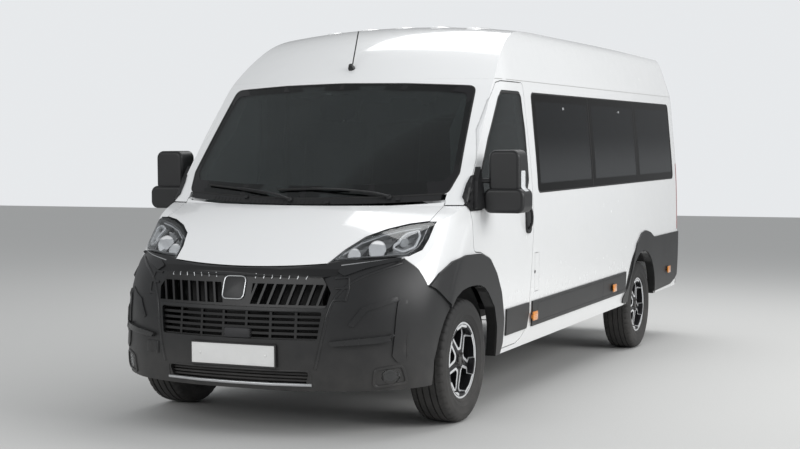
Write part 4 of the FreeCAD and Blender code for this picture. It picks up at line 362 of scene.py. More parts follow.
seal_rubber = grained("seal_rubber", colour(0.010, 0.010, 0.010), colour(0.018, 0.018, 0.018), 0.5,
                      200.0, 0.0003)

# %% [markdown]
# ## Lamps, plate and cloth
# Lamp lenses are clear coloured plastic with a ribbed back. The number plate is a blank pressed
# sheet. Seat cloth is a coarse dark weave, made from two crossed wave patterns.


# %% Coloured lenses, plate and cloth
def lens(name, dark, light):
    made = Finish(name, Coat_Weight=1.0, Coat_Roughness=0.03)
    ribs = made.node("ShaderNodeTexWave", {"wave_type": "BANDS", "bands_direction": "Z"},
                     {"Vector": made.place(), "Scale": 26.0, "Distortion": 0.0})
    made.set(Base_Color=made.blend(ribs * 0.6 + made.noise(20.0) * 0.4, dark, light),
             Roughness=0.12 + 0.08 * made.noise(35.0))
    made.bump(ribs, 0.0012, 0.5)
    return made


red_lens = lens("red_lens", colour(0.22, 0.008, 0.006), colour(0.50, 0.025, 0.02))
amber_lens = lens("amber_lens", colour(0.62, 0.17, 0.01), colour(0.95, 0.36, 0.03))
plate_white = grained("plate_white", colour(0.80, 0.80, 0.79), colour(0.87, 0.87, 0.86), 0.22,
                      60.0, 0.00005)
plate_white.set(Coat_Weight=0.3)


lens_frost = Finish("lens_frost", Coat_Weight=1.0, Coat_Roughness=0.05)
flute = lens_frost.node("ShaderNodeTexWave", {"wave_type": "BANDS", "bands_direction": "X"},
                        {"Vector": lens_frost.place(), "Scale": 40.0, "Distortion": 0.0})
lens_frost.set(Base_Color=lens_frost.blend(flute * 0.5 + lens_frost.noise(30.0) * 0.5,
                                           colour(0.66, 0.68, 0.70), colour(0.90, 0.91, 0.92)),
               Roughness=0.18 + 0.1 * lens_frost.noise(60.0))
lens_frost.bump(flute, 0.0006, 0.5)


def cloth(name, dark, light):
    made = Finish(name, Sheen_Weight=0.35, Sheen_Roughness=0.5)
    across = made.node("ShaderNodeTexWave", {"bands_direction": "X"},
                       {"Vector": made.place(), "Scale": 55.0, "Distortion": 0.6})
    down = made.node("ShaderNodeTexWave", {"bands_direction": "Z"},
                     {"Vector": made.place(), "Scale": 55.0, "Distortion": 0.6})
    weave = across * down
    made.set(Base_Color=made.blend(weave * 0.6 + made.noise(5.0) * 0.4, dark, light),
             Roughness=0.85 - 0.1 * weave)
    made.bump(weave, 0.0006, 0.3)
    return made


seat_cloth = cloth("seat_cloth", colour(0.018, 0.018, 0.020), colour(0.050, 0.050, 0.054))

# %% [markdown]
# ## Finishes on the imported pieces
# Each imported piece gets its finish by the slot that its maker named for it. A few metal pieces
# share a slot in the record but look different up close, so they are named one by one.

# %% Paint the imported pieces
SLOT_FINISH = {
    "white_paint": white_paint, "dark_plastic": dark_plastic, "tinted_glass": tinted_glass,
    "clear_glass": clear_glass, "lamp": lens_glass, "red_lamp": red_lens, "amber_lamp": amber_lens,
    "plate": plate_white, "underbody": underbody, "cast": cast, "engine": engine_alloy,
    "tank": tank_plastic, "steel": exhaust_steel, "tyre": tyre_rubber, "alloy": pocket,
    "trim_inside": trim_inside, "seat_cloth": seat_cloth}


def dress(obj, finish):
    """Gives one finish to the whole of a mesh."""
    obj.data.materials.clear()
    obj.data.materials.append(finish.material)


for part in frame["record"]["subparts"]:
    node = nodes[part["node"]]
    dress(node, SLOT_FINISH[part["material_slot"]])
dress(nodes["radiator"], underbody)
dress(nodes["grilles"], deep_black)
print("slots used:", len(SLOT_FINISH))

# %% [markdown]
# ## Laying pieces on the body
# Most fine pieces of a vehicle lie on its skin: seals, strips, lenses, rub marks. It is hard to
# model them in the air and push them into place. Here a piece is drawn flat, as the maker sees it
# from the front, a side, the rear or above, and each of its points is then dropped straight onto
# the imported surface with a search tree. The direction out of the surface gives its thickness.


# %% Search trees and the five ways to look
def skin_of(*names):
    """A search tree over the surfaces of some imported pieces."""
    points, faces = [], []
    for name in names:
        mesh = nodes[name].data
        start = len(points)
        points += [vertex.co.copy() for vertex in mesh.vertices]
        faces += [[start + i for i in face.vertices] for face in mesh.polygons]
    return BVHTree.FromPolygons(points, faces)


LOOKS = {"front": (lambda a, b: (a, -3000, b), (0, 1, 0)),
         "rear": (lambda a, b: (a, 8000, b), (0, -1, 0)),
         "left": (lambda a, b: (3000, a, b), (-1, 0, 0)),
         "right": (lambda a, b: (-3000, a, b), (1, 0, 0)),
         "above": (lambda a, b: (a, b, 5000), (0, 0, -1))}


def touch(skin, view, a, b):
    """Where a look from one side meets the surface, and the direction out of it."""
    spot, way = LOOKS[view]
    start, ray = at(*spot(a, b)), along(*way)
    hit, normal, _, _ = skin.ray_cast(start, ray)
    if hit is None:
        tries = [skin.find_nearest(start + ray * share) for share in (1.8, 2.2, 2.6, 4, 6)]
        hit, normal, _, _ = min(tries, key=lambda found: found[3])
    if normal.dot(ray) > 0:
        normal = -normal
    return hit, normal


def levelled(places, found, view, near=70, step=4):
    """Lifts the points that fell into a gap back to the height of their neighbours."""
    way = along(*LOOKS[view][1])
    depths = [point.dot(way) / MM for point, _ in found]
    made = []
    for i, (a, b) in enumerate(places):
        around = sorted(depths[k] for k, (c, d) in enumerate(places)
                        if abs(c - a) < near and abs(d - b) < near)
        usual = around[len(around) // 2]
        point, out = found[i]
        if abs(depths[i] - usual) > step + near * 0.5:
            best = min((k for k in range(len(places))
                        if abs(depths[k] - usual) <= step + near * 0.5),
                       key=lambda k: (places[k][0] - a) ** 2 + (places[k][1] - b) ** 2,
                       default=i)
            point, out = point + way * (depths[best] - depths[i]) * MM, found[best][1]
        made.append((point, out))
    return made


# %% Flat outlines
def rounded(points, radius, steps=4):
    """An outline with each corner rounded, as far as its two sides allow."""
    made = []
    for i, corner in enumerate(points):
        here = Vector(corner)
        before = Vector(points[i - 1]) - here
        after = Vector(points[(i + 1) % len(points)]) - here
        angle = before.angle(after)
        reach = min(radius / math.tan(angle / 2), before.length * 0.45, after.length * 0.45)
        start, end = here + before.normalized() * reach, here + after.normalized() * reach
        for k in range(steps + 1):
            t = k / steps
            made.append(start * (1 - t) ** 2 + here * 2 * t * (1 - t) + end * t ** 2)
    return made


def oblong(a0, a1, b0, b1, radius, steps=4):
    return rounded([(a0, b0), (a1, b0), (a1, b1), (a0, b1)], radius, steps)


def paced(points, pace, closed=False):
    """Points along a run of lines, no further apart than the pace."""
    run = [Vector(p) for p in points] + ([Vector(points[0])] if closed else [])
    made = []
    for start, end in zip(run, run[1:]):
        parts = max(1, math.ceil((end - start).length / pace))
        made += [start.lerp(end, k / parts) for k in range(parts)]
    return made if closed else made + [run[-1]]


def smooth(points, rounds=2):
    """A rounder run between the same two ends."""
    run = [Vector(p) for p in points]
    for _ in range(rounds):
        made = [run[0]]
        for start, end in zip(run, run[1:]):
            made += [start.lerp(end, 0.25), start.lerp(end, 0.75)]
        run = made + [run[-1]]
    return run


def flipped(sign, points):
    """An outline of the left side: kept by a sign of 1, carried to the right side by -1."""
    return [(sign * a, b) for a, b in points]


# %% A mesh that grows shape by shape
class Form:
    """Points and faces, added shape by shape; lengths in millimetres, places in metres."""

    def __init__(self):
        self.points, self.faces = [], []

    def add(self, points, faces):
        start = len(self.points)
        self.points += [Vector(p) for p in points]
        self.faces += [[start + i for i in face] for face in faces]
        return self

    def rings(self, rings, closed=False, capped=True):
        """A skin over a run of rings that have equally many points."""
        count = len(rings[0])
        faces = []
        for i in range(len(rings) if closed else len(rings) - 1):
            j = (i + 1) % len(rings)
            for k in range(count):
                m = (k + 1) % count
                faces.append((i * count + k, j * count + k, j * count + m, i * count + m))
        if capped and not closed:
            last = (len(rings) - 1) * count
            faces.append(tuple(range(count)))
            faces.append(tuple(last + k for k in reversed(range(count))))
        return self.add([p for ring in rings for p in ring], faces)

    def turned(self, profile, centre, axis, steps=40, capped=True):
        """A profile of (radius, height) pairs turned about an axis."""
        side = axis.orthogonal().normalized()
        other = axis.cross(side)
        turns = [math.tau * k / steps for k in range(steps)]
        return self.rings([[centre + axis * h * MM + (side * math.cos(t) + other * math.sin(t))
                            * r * MM for t in turns] for r, h in profile], capped=capped)

    def strip(self, path, section, closed=False):
        """A section of (across, out) pairs swept along (point, normal) pairs."""
        rings = []
        count = len(path)
        for i, (point, out) in enumerate(path):
            before = path[i - 1][0] if closed or i else point
            after = path[(i + 1) % count][0] if closed or i < count - 1 else point
            across = out.cross(after - before).normalized()
            out = (after - before).cross(across).normalized()
            rings.append([point + (across * a + out * o) * MM for a, o in section])
        return self.rings(rings, closed)

    def tube(self, points, radius, sides):
        """A round bar through points; the radius may be one number or one for each point."""
        radii = radius if isinstance(radius, list) else [radius] * len(points)
        rings = []
        side = None
        for i, point in enumerate(points):
            before = points[i - 1] if i else point
            after = points[i + 1] if i < len(points) - 1 else point
            way = (after - before).normalized()
            side = way.orthogonal() if side is None else side - way * side.dot(way)
            side.normalize()
            other = way.cross(side)
            rings.append([point + (side * math.cos(math.tau * k / sides)
                                   + other * math.sin(math.tau * k / sides)) * radii[i] * MM
                          for k in range(sides)])
        return self.rings(rings)

    def block(self, centre, size, x=LEFTWARD, y=REARWARD, soft=0.18):
        """A block with cut corners about a centre; x and y are two of its directions."""
        x, y = Vector(x).normalized(), Vector(y).normalized()
        z = x.cross(y).normalized()
        y = z.cross(x)
        hx, hy, hz = (s * MM / 2 for s in size)
        cut = min(hx, hy) * soft
        loop = [(hx - cut, -hy), (hx, cut - hy), (hx, hy - cut), (hx - cut, hy),
                (cut - hx, hy), (-hx, hy - cut), (-hx, cut - hy), (cut - hx, -hy)]
        thin = 1 - soft * 0.5
        levels = [(-hz, thin), (-hz * 0.86, 1), (hz * 0.86, 1), (hz, thin)]
        return self.rings([[centre + x * a * s + y * b * s + z * h for a, b in loop]
                           for h, s in levels])

    def plate(self, skin, view, outline, cell=40, lift=0):
        """An outline cut into cells and dropped onto a surface."""
        work = bmesh.new()
        work.faces.new([work.verts.new((p[0], p[1], 0)) for p in outline])
        bmesh.ops.triangulate(work, faces=work.faces[:], ngon_method="EAR_CLIP")
        for axis in (0, 1):
            reach = [p[axis] for p in outline]
            line = [0, 0, 0]
            line[axis] = 1
            spans = max(1, math.ceil((max(reach) - min(reach)) / cell))
            for k in range(1, spans):
                spot = [0, 0, 0]
                spot[axis] = min(reach) + (max(reach) - min(reach)) * k / spans
                bmesh.ops.bisect_plane(work, geom=work.verts[:] + work.edges[:] + work.faces[:],
                                       plane_co=spot, plane_no=line, dist=0.01)
        bmesh.ops.remove_doubles(work, verts=work.verts[:], dist=0.05)
        found = levelled([(v.co.x, v.co.y) for v in work.verts],
                         [touch(skin, view, v.co.x, v.co.y) for v in work.verts], view)
        work.verts.index_update()
        faces = [[v.index for v in face.verts] for face in work.faces]
        for i, face in enumerate(faces):
            points = [found[k][0] for k in face]
            turn = (points[1] - points[0]).cross(points[2] - points[0])
            if turn.dot(found[face[0]][1]) < 0:
                faces[i] = face[::-1]
        work.free()
        return self.add([p + out * lift * MM for p, out in found], faces)


# %% From a form to a finished piece
made_pieces = []


def set_edges(mesh, angle):
    """Smooth shading, broken at edges sharper than the angle."""
    mesh.polygons.foreach_set("use_smooth", [True] * len(mesh.polygons))
    mesh.set_sharp_from_angle(angle=math.radians(angle))


def make(name, form, finish, body="body", slot="dark_plastic", thick=0, edge=0, rounds=2,
         angle=38):
    """An object from a form, given thickness and rounded edges, riding on a body."""
    mesh = bpy.data.meshes.new(name)
    mesh.from_pydata(form.points, [], form.faces)
    mesh.validate()
    obj = bpy.data.objects.new(name, mesh)
    bpy.context.collection.objects.link(obj)
    if thick:
        solid = obj.modifiers.new("thickness", "SOLIDIFY")
        solid.thickness, solid.offset = thick * MM, 1
    if edge:
        bevel = obj.modifiers.new("edge", "BEVEL")
        bevel.width, bevel.segments = edge * MM, rounds
        bevel.limit_method, bevel.angle_limit = "ANGLE", math.radians(40)
    if thick or edge:
        seen_mesh = obj.evaluated_get(bpy.context.evaluated_depsgraph_get())
        obj.data = bpy.data.meshes.new_from_object(seen_mesh)
        obj.modifiers.clear()
    set_edges(obj.data, angle)
    dress(obj, finish)
    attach(obj, body)
    made_pieces.append(obj)
    return obj


def laid(skin, view, points, pace=40, closed=False, lift=0):
    """A run of (point, normal) pairs dropped onto a surface."""
    found = [touch(skin, view, p[0], p[1]) for p in paced(points, pace, closed)]
    return [(p + out * lift * MM, out) for p, out in found]


def bead(width, height, foot=-1.0):
    """The section of a low rounded strip."""
    half = width / 2
    return [(-half, foot), (half, foot), (half, height * 0.6), (half * 0.6, height),
            (-half * 0.6, height), (-half, height * 0.6)]


SIDES = (("left", 1), ("right", -1))
print("ways to look:", ", ".join(LOOKS))

# %% [markdown]
# ## Round the windscreen
# A bonded windscreen has a black fired border that hides the glue, and a thin rubber lip where the
# glass meets the body. The border is drawn as the opening's own outline, once outside and once
# further in, and the band between them is laid on the glass.


# %% The windscreen's outline and its border
def screen_outline(inset, foot=0, head=0):
    """The outline of the windscreen as seen from the front, from the lower left round."""
    shares = (-1, -0.9, -0.5, 0, 0.5, 0.9, 1)
    low_half, high_half = 873 - inset, 843 - inset
    low = [(low_half * s, 1292 + inset + foot + 31 * s * s) for s in shares]
    high = [(-high_half * s, 1998 - inset - head - 26 * s * s) for s in shares]
    return low + [(905 - inset, 1445)] + high + [(inset - 905, 1445)]


def band(form, skin, view, outer, inner, lift=0):
    """The band between two outlines with equally many points, laid on a surface."""
    count = len(outer)
    share = [0, 0.5, 1]
    rings = []
    for k in range(count):
        a, b = Vector(outer[k]), Vector(inner[k])
        rings.append([touch(skin, view, *a.lerp(b, s)) for s in share])
    points = [p + out * lift * MM for ring in rings for p, out in ring]
    faces = []
    for i in range(count):
        j = (i + 1) % count
        for k in range(2):
            face = [i * 3 + k, j * 3 + k, j * 3 + k + 1, i * 3 + k + 1]
            turn = (points[face[1]] - points[face[0]]).cross(points[face[2]] - points[face[0]])
            faces.append(face if turn.dot(rings[i][0][1]) > 0 else face[::-1])
    return form.add(points, faces)


glass_skin = skin_of("windscreen")
outer = rounded(screen_outline(6), 45, 5)
inner = rounded(screen_outline(36, 40, 6), 45, 5)
border = band(Form(), glass_skin, "front", outer, inner, 0.4)
make("windscreen_border", border, gloss_black, thick=0.5)
edge = laid(glass_skin, "front", rounded(screen_outline(3), 45, 5), 60, True)
make("windscreen_seal", Form().strip(edge, bead(11, 2.2), True), seal_rubber)
print("border points:", len(outer))

# %% [markdown]
# ## Wipers and washers
# Two arms start from pivots in the tray under the glass and rest along its foot. An arm is a flat
# tapered bar, the blade is a rubber strip with a spine, and a cap covers each pivot.

# %% Wipers, caps and washer jets
screen_skins = skin_of("windscreen", "cowl_tray", "bonnet")


def lifted(view, a, b, lift, skin=screen_skins):
    point, out = touch(skin, view, a, b)
    return point + out * lift * MM


for number, (pivot, elbow, tip, far) in enumerate((
        ((545, 1302), (470, 1318), (60, 1346), (-170, 1338)),
        ((-70, 1283), (-140, 1302), (-480, 1344), (-715, 1362))), 1):
    arm = smooth([lifted("front", *pivot, 14), lifted("front", *elbow, 22),
                  lifted("front", (elbow[0] + tip[0]) / 2, (elbow[1] + tip[1]) / 2 + 3, 24),
                  lifted("front", *tip, 15)])
    form = Form().tube(arm, [8 - 4 * i / len(arm) for i in range(len(arm))], 8)
    base, out = touch(screen_skins, "front", *pivot)
    form.turned([(0, -4), (17, -4), (17, 12), (12, 19), (0, 20)], base, out, 24)
    make("wiper_arm_%d" % number, form, dark_plastic)
    start = (tip[0] * 2 - far[0], tip[1] * 2 - far[1] - 10)
    blade = laid(screen_skins, "front", [start, tip, far], 60)
    form = Form().strip(blade, [(-1.5, 0), (1.5, 0), (3, 8), (7, 10), (4, 15), (-4, 15), (-7, 10),
                                (-3, 8)])
    make("wiper_blade_%d" % number, form, seal_rubber)
jets = Form()
for x, z in ((-388, 1296), (181, 1270), (601, 1290)):
    spot, out = touch(screen_skins, "front", x, z)
    jets.block(spot + out * 5 * MM, (26, 18, 13), (1, 0, 0), out.cross(Vector((1, 0, 0))), 0.4)
make("washer_jets", jets, dark_plastic)
vents = Form()
for i in range(44):
    x = -640 + i * 29
    if min(abs(x - p) for p in (545, -70, -388, 181, 601)) > 26:
        rise = 31 * (x / 873) ** 2
        foot = touch(screen_skins, "front", x, 1262 + rise)
        head = touch(screen_skins, "front", x + 5, 1283 + rise)
        vents.strip([foot, head], bead(7, 2.5))
make("cowl_vents", vents, dark_plastic)

# %% [markdown]
# ## Headlamps
# Behind the clear lens lies a grey tray. It carries three bright bowls, dark bars between them and
# a light guide that rings the outer end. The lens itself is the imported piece, so the tray and all
# that it carries are set back into the lamp from the lens surface.

# %% Tray, bowls, bars and light guides
LAMP = [(504, 984), (530, 1022), (588, 1080), (676, 1118), (773, 1144), (856, 1158), (890, 1160),
        (892, 1136), (888, 1084), (878, 1044), (842, 1012), (739, 1005), (610, 1001), (532, 994)]
lamp_skin = skin_of("front_lamps")
RING = [(776, 1048), (790, 1122), (852, 1140), (874, 1108), (868, 1048), (824, 1026)]
LAMP_BROW = [(526, 1014), (584, 1072), (673, 1112), (774, 1138), (850, 1150)]
LAMP_LIP = [(560, 958), (620, 966), (739, 980), (836, 990)]


def lamp_spot(x, z, depth):
    point, out = touch(lamp_skin, "front", x, z)
    return point - out * depth * MM, out


for side, sign in SIDES:
    outline = flipped(sign, rounded(LAMP, 12, 2))
    tray = Form().plate(lamp_skin, "front", outline, 30, -46)
    make("lamp_tray_" + side, tray, lamp_grey, slot="lamp", thick=2, edge=0.5)
    wall = laid(lamp_skin, "front", outline, 25, True)
    form = Form().strip(wall, [(-2, -48), (2, -48), (2, -2), (-2, -2)], True)
    make("lamp_wall_" + side, form, lamp_grey, slot="lamp")
    bowls, rims, bulbs = Form(), Form(), Form()
    for x, z, r in ((580, 1034, 36), (688, 1062, 50), (824, 1088, 24)):
        spot, out = lamp_spot(sign * x, z, 44)
        ahead = (FORWARD * 2 + out).normalized()
        bowls.turned([(3, 0), (r * 0.35, 2), (r * 0.62, 8), (r * 0.86, 18), (r, 30)], spot, ahead,
                     32, False)
        rims.turned([(r - 1, 27), (r + 4, 27), (r + 5, 31), (r - 1, 31)], spot, ahead, 32)
        bulbs.turned([(0, 2), (r * 0.2, 2), (r * 0.22, 12), (r * 0.12, 16), (0, 17)], spot, ahead,
                     16)
    make("lamp_bowls_" + side, bowls, chrome, slot="lamp", thick=1)
    make("lamp_bezels_" + side, rims, satin_silver, slot="lamp", edge=0.6)
    make("lamp_bulbs_" + side, bulbs, lens_frost, slot="lamp")
    bars = Form()
    for x0, z0, x1, z1, w in ((630, 1010, 638, 1096, 9), (752, 1012, 764, 1136, 13)):
        run = laid(lamp_skin, "front", flipped(sign, [(x0, z0), (x1, z1)]), 20, lift=-24)
        bars.strip(run, [(-w / 2, -20), (w / 2, -20), (w / 2, 0), (w / 4, 4), (-w / 4, 4),
                         (-w / 2, 0)])
    make("lamp_bars_" + side, bars, pocket, slot="lamp", edge=0.8)
    ring = laid(lamp_skin, "front", flipped(sign, rounded(RING, 22, 4)), 15, True, -12)
    form = Form().strip(ring, bead(13, 6, -8), True)
    brow = laid(lamp_skin, "front", flipped(sign, LAMP_BROW), 20, lift=-9)
    form.strip(brow, bead(6, 3, -3))
    make("lamp_guides_" + side, form, lens_frost, slot="lamp")
    lip = laid(skin_of("front_bumper"), "front", flipped(sign, LAMP_LIP), 20)
    make("lamp_lip_" + side, Form().strip(lip, bead(5, 1.6)), satin_silver)

# %% Fog lamps
for side, sign in SIDES:
    spot, ahead = touch(lamp_skin, "front", sign * 832, 359)
    spot = spot - ahead * 9 * MM
    bowl = Form().turned([(28, -6), (37, -8), (38, 5), (34, 8), (29, 3)], spot, ahead, 40)
    make("fog_ring_" + side, bowl, machined, slot="lamp", edge=1)
    glow = Form().turned([(0, 6), (14, 5), (25, 1), (30, -4), (30, -8), (0, -8)], spot, ahead, 32)
    for k in (-2, -1, 0, 1, 2):
        half = math.sqrt(29 ** 2 - (k * 11) ** 2)
        centre = spot + UPWARD * k * 11 * MM + ahead * (6 - abs(k) * 2) * MM
        across = ahead.cross(UPWARD)
        glow.block(centre, (half * 2, 2.2, 2.2), across, UPWARD)
    make("fog_flutes_" + side, glow, lens_frost, slot="lamp")
    rim = Form().turned([(38, -14), (46, -14), (47, 4), (44, 9), (39, 8)], spot, ahead, 40)
    make("fog_bezel_" + side, rim, gloss_black, edge=1)
print("pieces so far:", len(made_pieces))

# %% [markdown]
# ## Grille, plate and bumper
# The upper grille carries short bright tips along its top, ribs below them and a plain plate in a
# thin bright frame. The lower grille holds a small sensor box. A thin bright strip runs under the
# lower mouth, and the bumper's corners have pressed edges that catch the light.

# %% Bright tips, framed plate, sensor box and plate holder
nose_skin = skin_of("front_bumper", "grilles")
tips = Form()
for i in range(7):
    for x in (-150 - i * 50, 96 + i * 50):
        lean = 5 if x > 0 else -5
        run = laid(nose_skin, "front", [(x, 884), (x + lean, 908 - i * 1.2)], 12, lift=1)
        tips.strip(run, bead(5.5, 3.5))
make("grille_tips", tips, satin_silver, edge=0.6)
BADGE_X, BADGE_FOOT, BADGE_HEAD = -25, 768, 898
badge_low, badge_high = (touch(nose_skin, "front", BADGE_X, z)[0]
                         for z in (BADGE_FOOT, BADGE_HEAD))


def badge_ring(lift):
    """The outline of the framed plate on a flat face just ahead of the grille."""
    ring = []
    for a, b in oblong(-92, 42, 772, 894, 30):
        spot = badge_low.lerp(badge_high, (b - BADGE_FOOT) / (BADGE_HEAD - BADGE_FOOT))
        ring.append(spot + LEFTWARD * (a - BADGE_X) * MM + FORWARD * lift * MM)
    return ring


badge = Form().rings([badge_ring(-6), badge_ring(5)])
make("badge_place", badge, dark_plastic, edge=1.5)
run = [(p, FORWARD) for p in badge_ring(5)]
make("badge_rim", Form().strip(run, bead(6, 3.5), True), satin_silver)
spot = lifted("front", 22, 590, 6, nose_skin)
sensor = Form().block(spot + REARWARD * 10 * MM, (160, 40, 54), soft=0.25)
make("sensor_box", sensor, trim_inside, edge=3)
holder = Form()
holder.strip([(at(a, -952, b), FORWARD) for a, b in
              paced(oblong(-264, 264, 411, 533, 6), 200, True)], bead(9, 7, -4), True)
make("plate_holder", holder, dark_plastic)
screws = Form()
for x in (-205, 205):
    screws.turned([(0, 0), (7, 0), (7, 1.5), (5, 2.8), (0, 3)], at(x, -955.2, 472), FORWARD,
                  20)
make("plate_screws", screws, plate_white, slot="plate")

# %% Centre mask, bumper seams and bright wings
mask = Form().plate(nose_skin, "front", rounded([(-470, 893), (470, 893), (556, 906), (566, 938),
                                                 (300, 936), (0, 934), (-300, 936), (-566, 938),
                                                 (-556, 906)], 12), 40)
make("grille_mask", mask, deep_black, thick=1.5, edge=0.8)
SEAM = [(842, 968), (760, 934), (638, 880), (566, 812), (528, 726), (505, 591), (474, 446),
        (461, 398)]
BUMPER_WING = [(545, 928), (598, 956), (700, 972), (826, 990), (836, 980), (684, 938), (590, 900)]
for side, sign in SIDES:
    seam = smooth([Vector((sign * x, z)) for x, z in SEAM], rounds=1)
    line = Form().strip(laid(nose_skin, "front", seam, 24), bead(5, 0.6))
    make("bumper_seam_" + side, line, seal_rubber)
    ridge = [p + Vector((sign * 12, 5)) for p in seam]
    line = Form().strip(laid(nose_skin, "front", ridge, 24), [(-10, -1), (10, -1), (5, 5), (-5, 5)])
    make("bumper_ridge_" + side, line, satin_plastic, edge=2)
    wing = flipped(sign, rounded(BUMPER_WING, 10))
    make("bumper_wing_" + side, Form().plate(nose_skin, "front", wing, 24), satin_plastic, thick=9,
         edge=4, rounds=3)

# %% Bumper strips, corner presses and grille brackets
strip = laid(nose_skin, "front", [(-450, 318), (0, 316), (450, 318)], 300, lift=6)
make("bumper_bright_strip", Form().strip(strip, bead(15, 5, -8)), satin_silver, edge=1)
CORNER_PLATES = (
    ("corner_press_", [(846, 600), (852, 768), (889, 776), (899, 449), (862, 430), (838, 470)],
     14, 30, dark_plastic, {"thick": 7, "edge": 3.5}),
    ("corner_shelf_", [(540, 556), (700, 572), (836, 584), (842, 556), (792, 545), (564, 532)],
     10, 24, satin_plastic, {"thick": 24, "edge": 9, "rounds": 4}),
    ("corner_brow_", [(636, 640), (700, 738), (846, 790), (852, 762), (724, 716), (666, 632)],
     10, 30, dark_plastic, {"thick": 6, "edge": 2.8}))
FOG_POD = [(752, 300), (768, 400), (880, 416), (896, 318)]
BRACKETS = (((548, 892), (610, 896)), ((560, 838), (622, 842)), ((556, 776), (616, 780)))
BRACKET_END = [(620, 770), (626, 840), (614, 900)]
for side, sign in SIDES:
    for name, outline, radius, cell, finish, edges in CORNER_PLATES:
        plate = Form().plate(nose_skin, "front", flipped(sign, rounded(outline, radius)), cell)
        make(name + side, plate, finish, **edges)
    pod = laid(nose_skin, "front", flipped(sign, rounded(FOG_POD, 24)), 25, True)
    make("fog_pod_" + side, Form().strip(pod, bead(16, 7), True), dark_plastic)
    form = Form()
    for ends in BRACKETS:
        form.strip(laid(nose_skin, "front", flipped(sign, ends), 20), bead(14, 6))
    form.strip(laid(nose_skin, "front", flipped(sign, BRACKET_END), 20), bead(12, 6))
    make("grille_bracket_" + side, form, dark_plastic, edge=1)
edge = laid(nose_skin, "front", oblong(-448, 448, 314, 394, 20), 30, True)
make("mouth_edge", Form().strip(edge, bead(8, 3), True), dark_plastic)
cap = Form().plate(nose_skin, "front", [(-624, 442), (-524, 442), (-524, 510), (-624, 510)], 24)
make("tow_cap", cap, dark_plastic, thick=4, edge=2)
slats = Form()
for z in (336, 354, 372):
    slats.strip([(at(x, -905 + abs(x) ** 2 / 5200, z), FORWARD) for x in
                 range(-430, 431, 43)], [(-4, -14), (4, -14), (5, 0), (-5, 0)])
make("mouth_slats", slats, underbody)
# A dark sheet behind the slats is painted shade: it keeps the mouth black where the floor would
# show through.
panel = Form().block(at(0, -830, 352), (960, 12, 100))
make("mouth_shade_sheet", panel, underbody, edge=1)
print("pieces so far:", len(made_pieces))

# %% [markdown]
# ## Wheels
# The cast rims are painted dark and then turned, so each opening has a thin bright border and the
# outer lip a bright ring. A small cap, five bolts and a valve finish the hub. The tyres are drawn
# anew with grooves, blocks and raised rings on the side wall, and stand in for the plain ones.

# %% Bright borders, bolts, valve, cap
WHEELS = {"front_left": (1, 888, 0, AXLE_Z), "front_right": (-1, -888, 0, AXLE_Z),
          "rear_left": (1, 878, REAR_AXLE_Y, REAR_AXLE_Z),
          "rear_right": (-1, -878, REAR_AXLE_Y, REAR_AXLE_Z)}
OPENING = [(66, -17), (147, -82), (189, -73), (202, 0), (189, 73), (147, 82), (66, 17)]
LIP_RADIUS, BOLT_CIRCLE, BOLT_COUNT, OPENING_COUNT = 217, 43, 5, 5
TREAD_STEPS = 180


def round_wheel(y, z, r, turn, side=0):
    """A point in the wheel's face, by radius and turn from the top, moved sideways."""
    return (y + r * math.sin(turn) + side * math.cos(turn),
            z + r * math.cos(turn) - side * math.sin(turn))


for name, (sign, x, y, z) in WHEELS.items():
    view = "left" if sign > 0 else "right"
    rim = skin_of("rim_" + name)
    out = along(sign, 0, 0)
    bright = Form()
    for k in range(OPENING_COUNT):
        turn = math.tau * k / OPENING_COUNT
        ring = rounded([round_wheel(y, z, r, turn, s) for r, s in OPENING], 14, 3)
        bright.strip(laid(rim, view, ring, 14, True), bead(15, 1.8), True)
    lip = [round_wheel(y, z, LIP_RADIUS, math.tau * k / 72) for k in range(72)]
    bright.strip(laid(rim, view, lip, 40, True), bead(11, 2.4), True)
    body = "wheel_" + name
    make("rim_bright_" + name, bright, machined, body, "alloy")
    bolts = Form()
    for k in range(BOLT_COUNT):
        turn = math.tau * (k + 0.5) / BOLT_COUNT
        spot, _ = touch(rim, view, *round_wheel(y, z, BOLT_CIRCLE, turn))
        bolts.turned([(0, -2), (11, -2), (11, 1), (8.5, 1.5), (8.5, 11), (7, 13), (0, 13)],
                     spot, out, 6)
    make("wheel_bolts_" + name, bolts, cast, body, "steel", edge=0.8)
    spot, _ = touch(rim, view, y + 1, z + 1)
    cap = Form().turned([(0, -3), (29, -3), (29, 4), (26, 8), (14, 10), (12, 8.5), (0, 9)],
                        at(x, y, z) + out * (spot - at(x, y, z)).dot(out), out, 48)
    make("hub_cap_" + name, cap, gloss_black, body, "alloy", edge=0.8)
    root, _ = touch(rim, view, *round_wheel(y, z, 204, math.tau * 0.6))
    tip = root + out * 16 * MM
    valve = Form().tube([root - out * 4 * MM, root + out * 8 * MM, tip], [4.5, 4, 3.2], 12)
    make("valve_" + name, valve, seal_rubber, body, "alloy")
print("openings per rim:", OPENING_COUNT)

# %% Tyres with grooves, blocks and side rings
TYRE_HALF = 112.5
WALL_LINE = [(221, 0.79), (226, 0.86), (236, 0.90), (240, 0.915), (243, 0.905), (262, 0.955),
             (266, 0.975), (270, 0.97), (292, 0.992), (304, 0.997), (307, 1.0), (311, 0.992),
             (326, 0.965), (336, 0.935), (343, 0.90), (349, 0.86)]
TREAD_LINE = [(353, 0.80), (355.5, 0.72), (357, 0.64), (357.4, 0.575), (348, 0.56), (348, 0.50),
              (358, 0.485), (358.6, 0.36), (359, 0.235), (349, 0.22), (349, 0.165), (359.3, 0.15),
              (359.6, 0.0)]


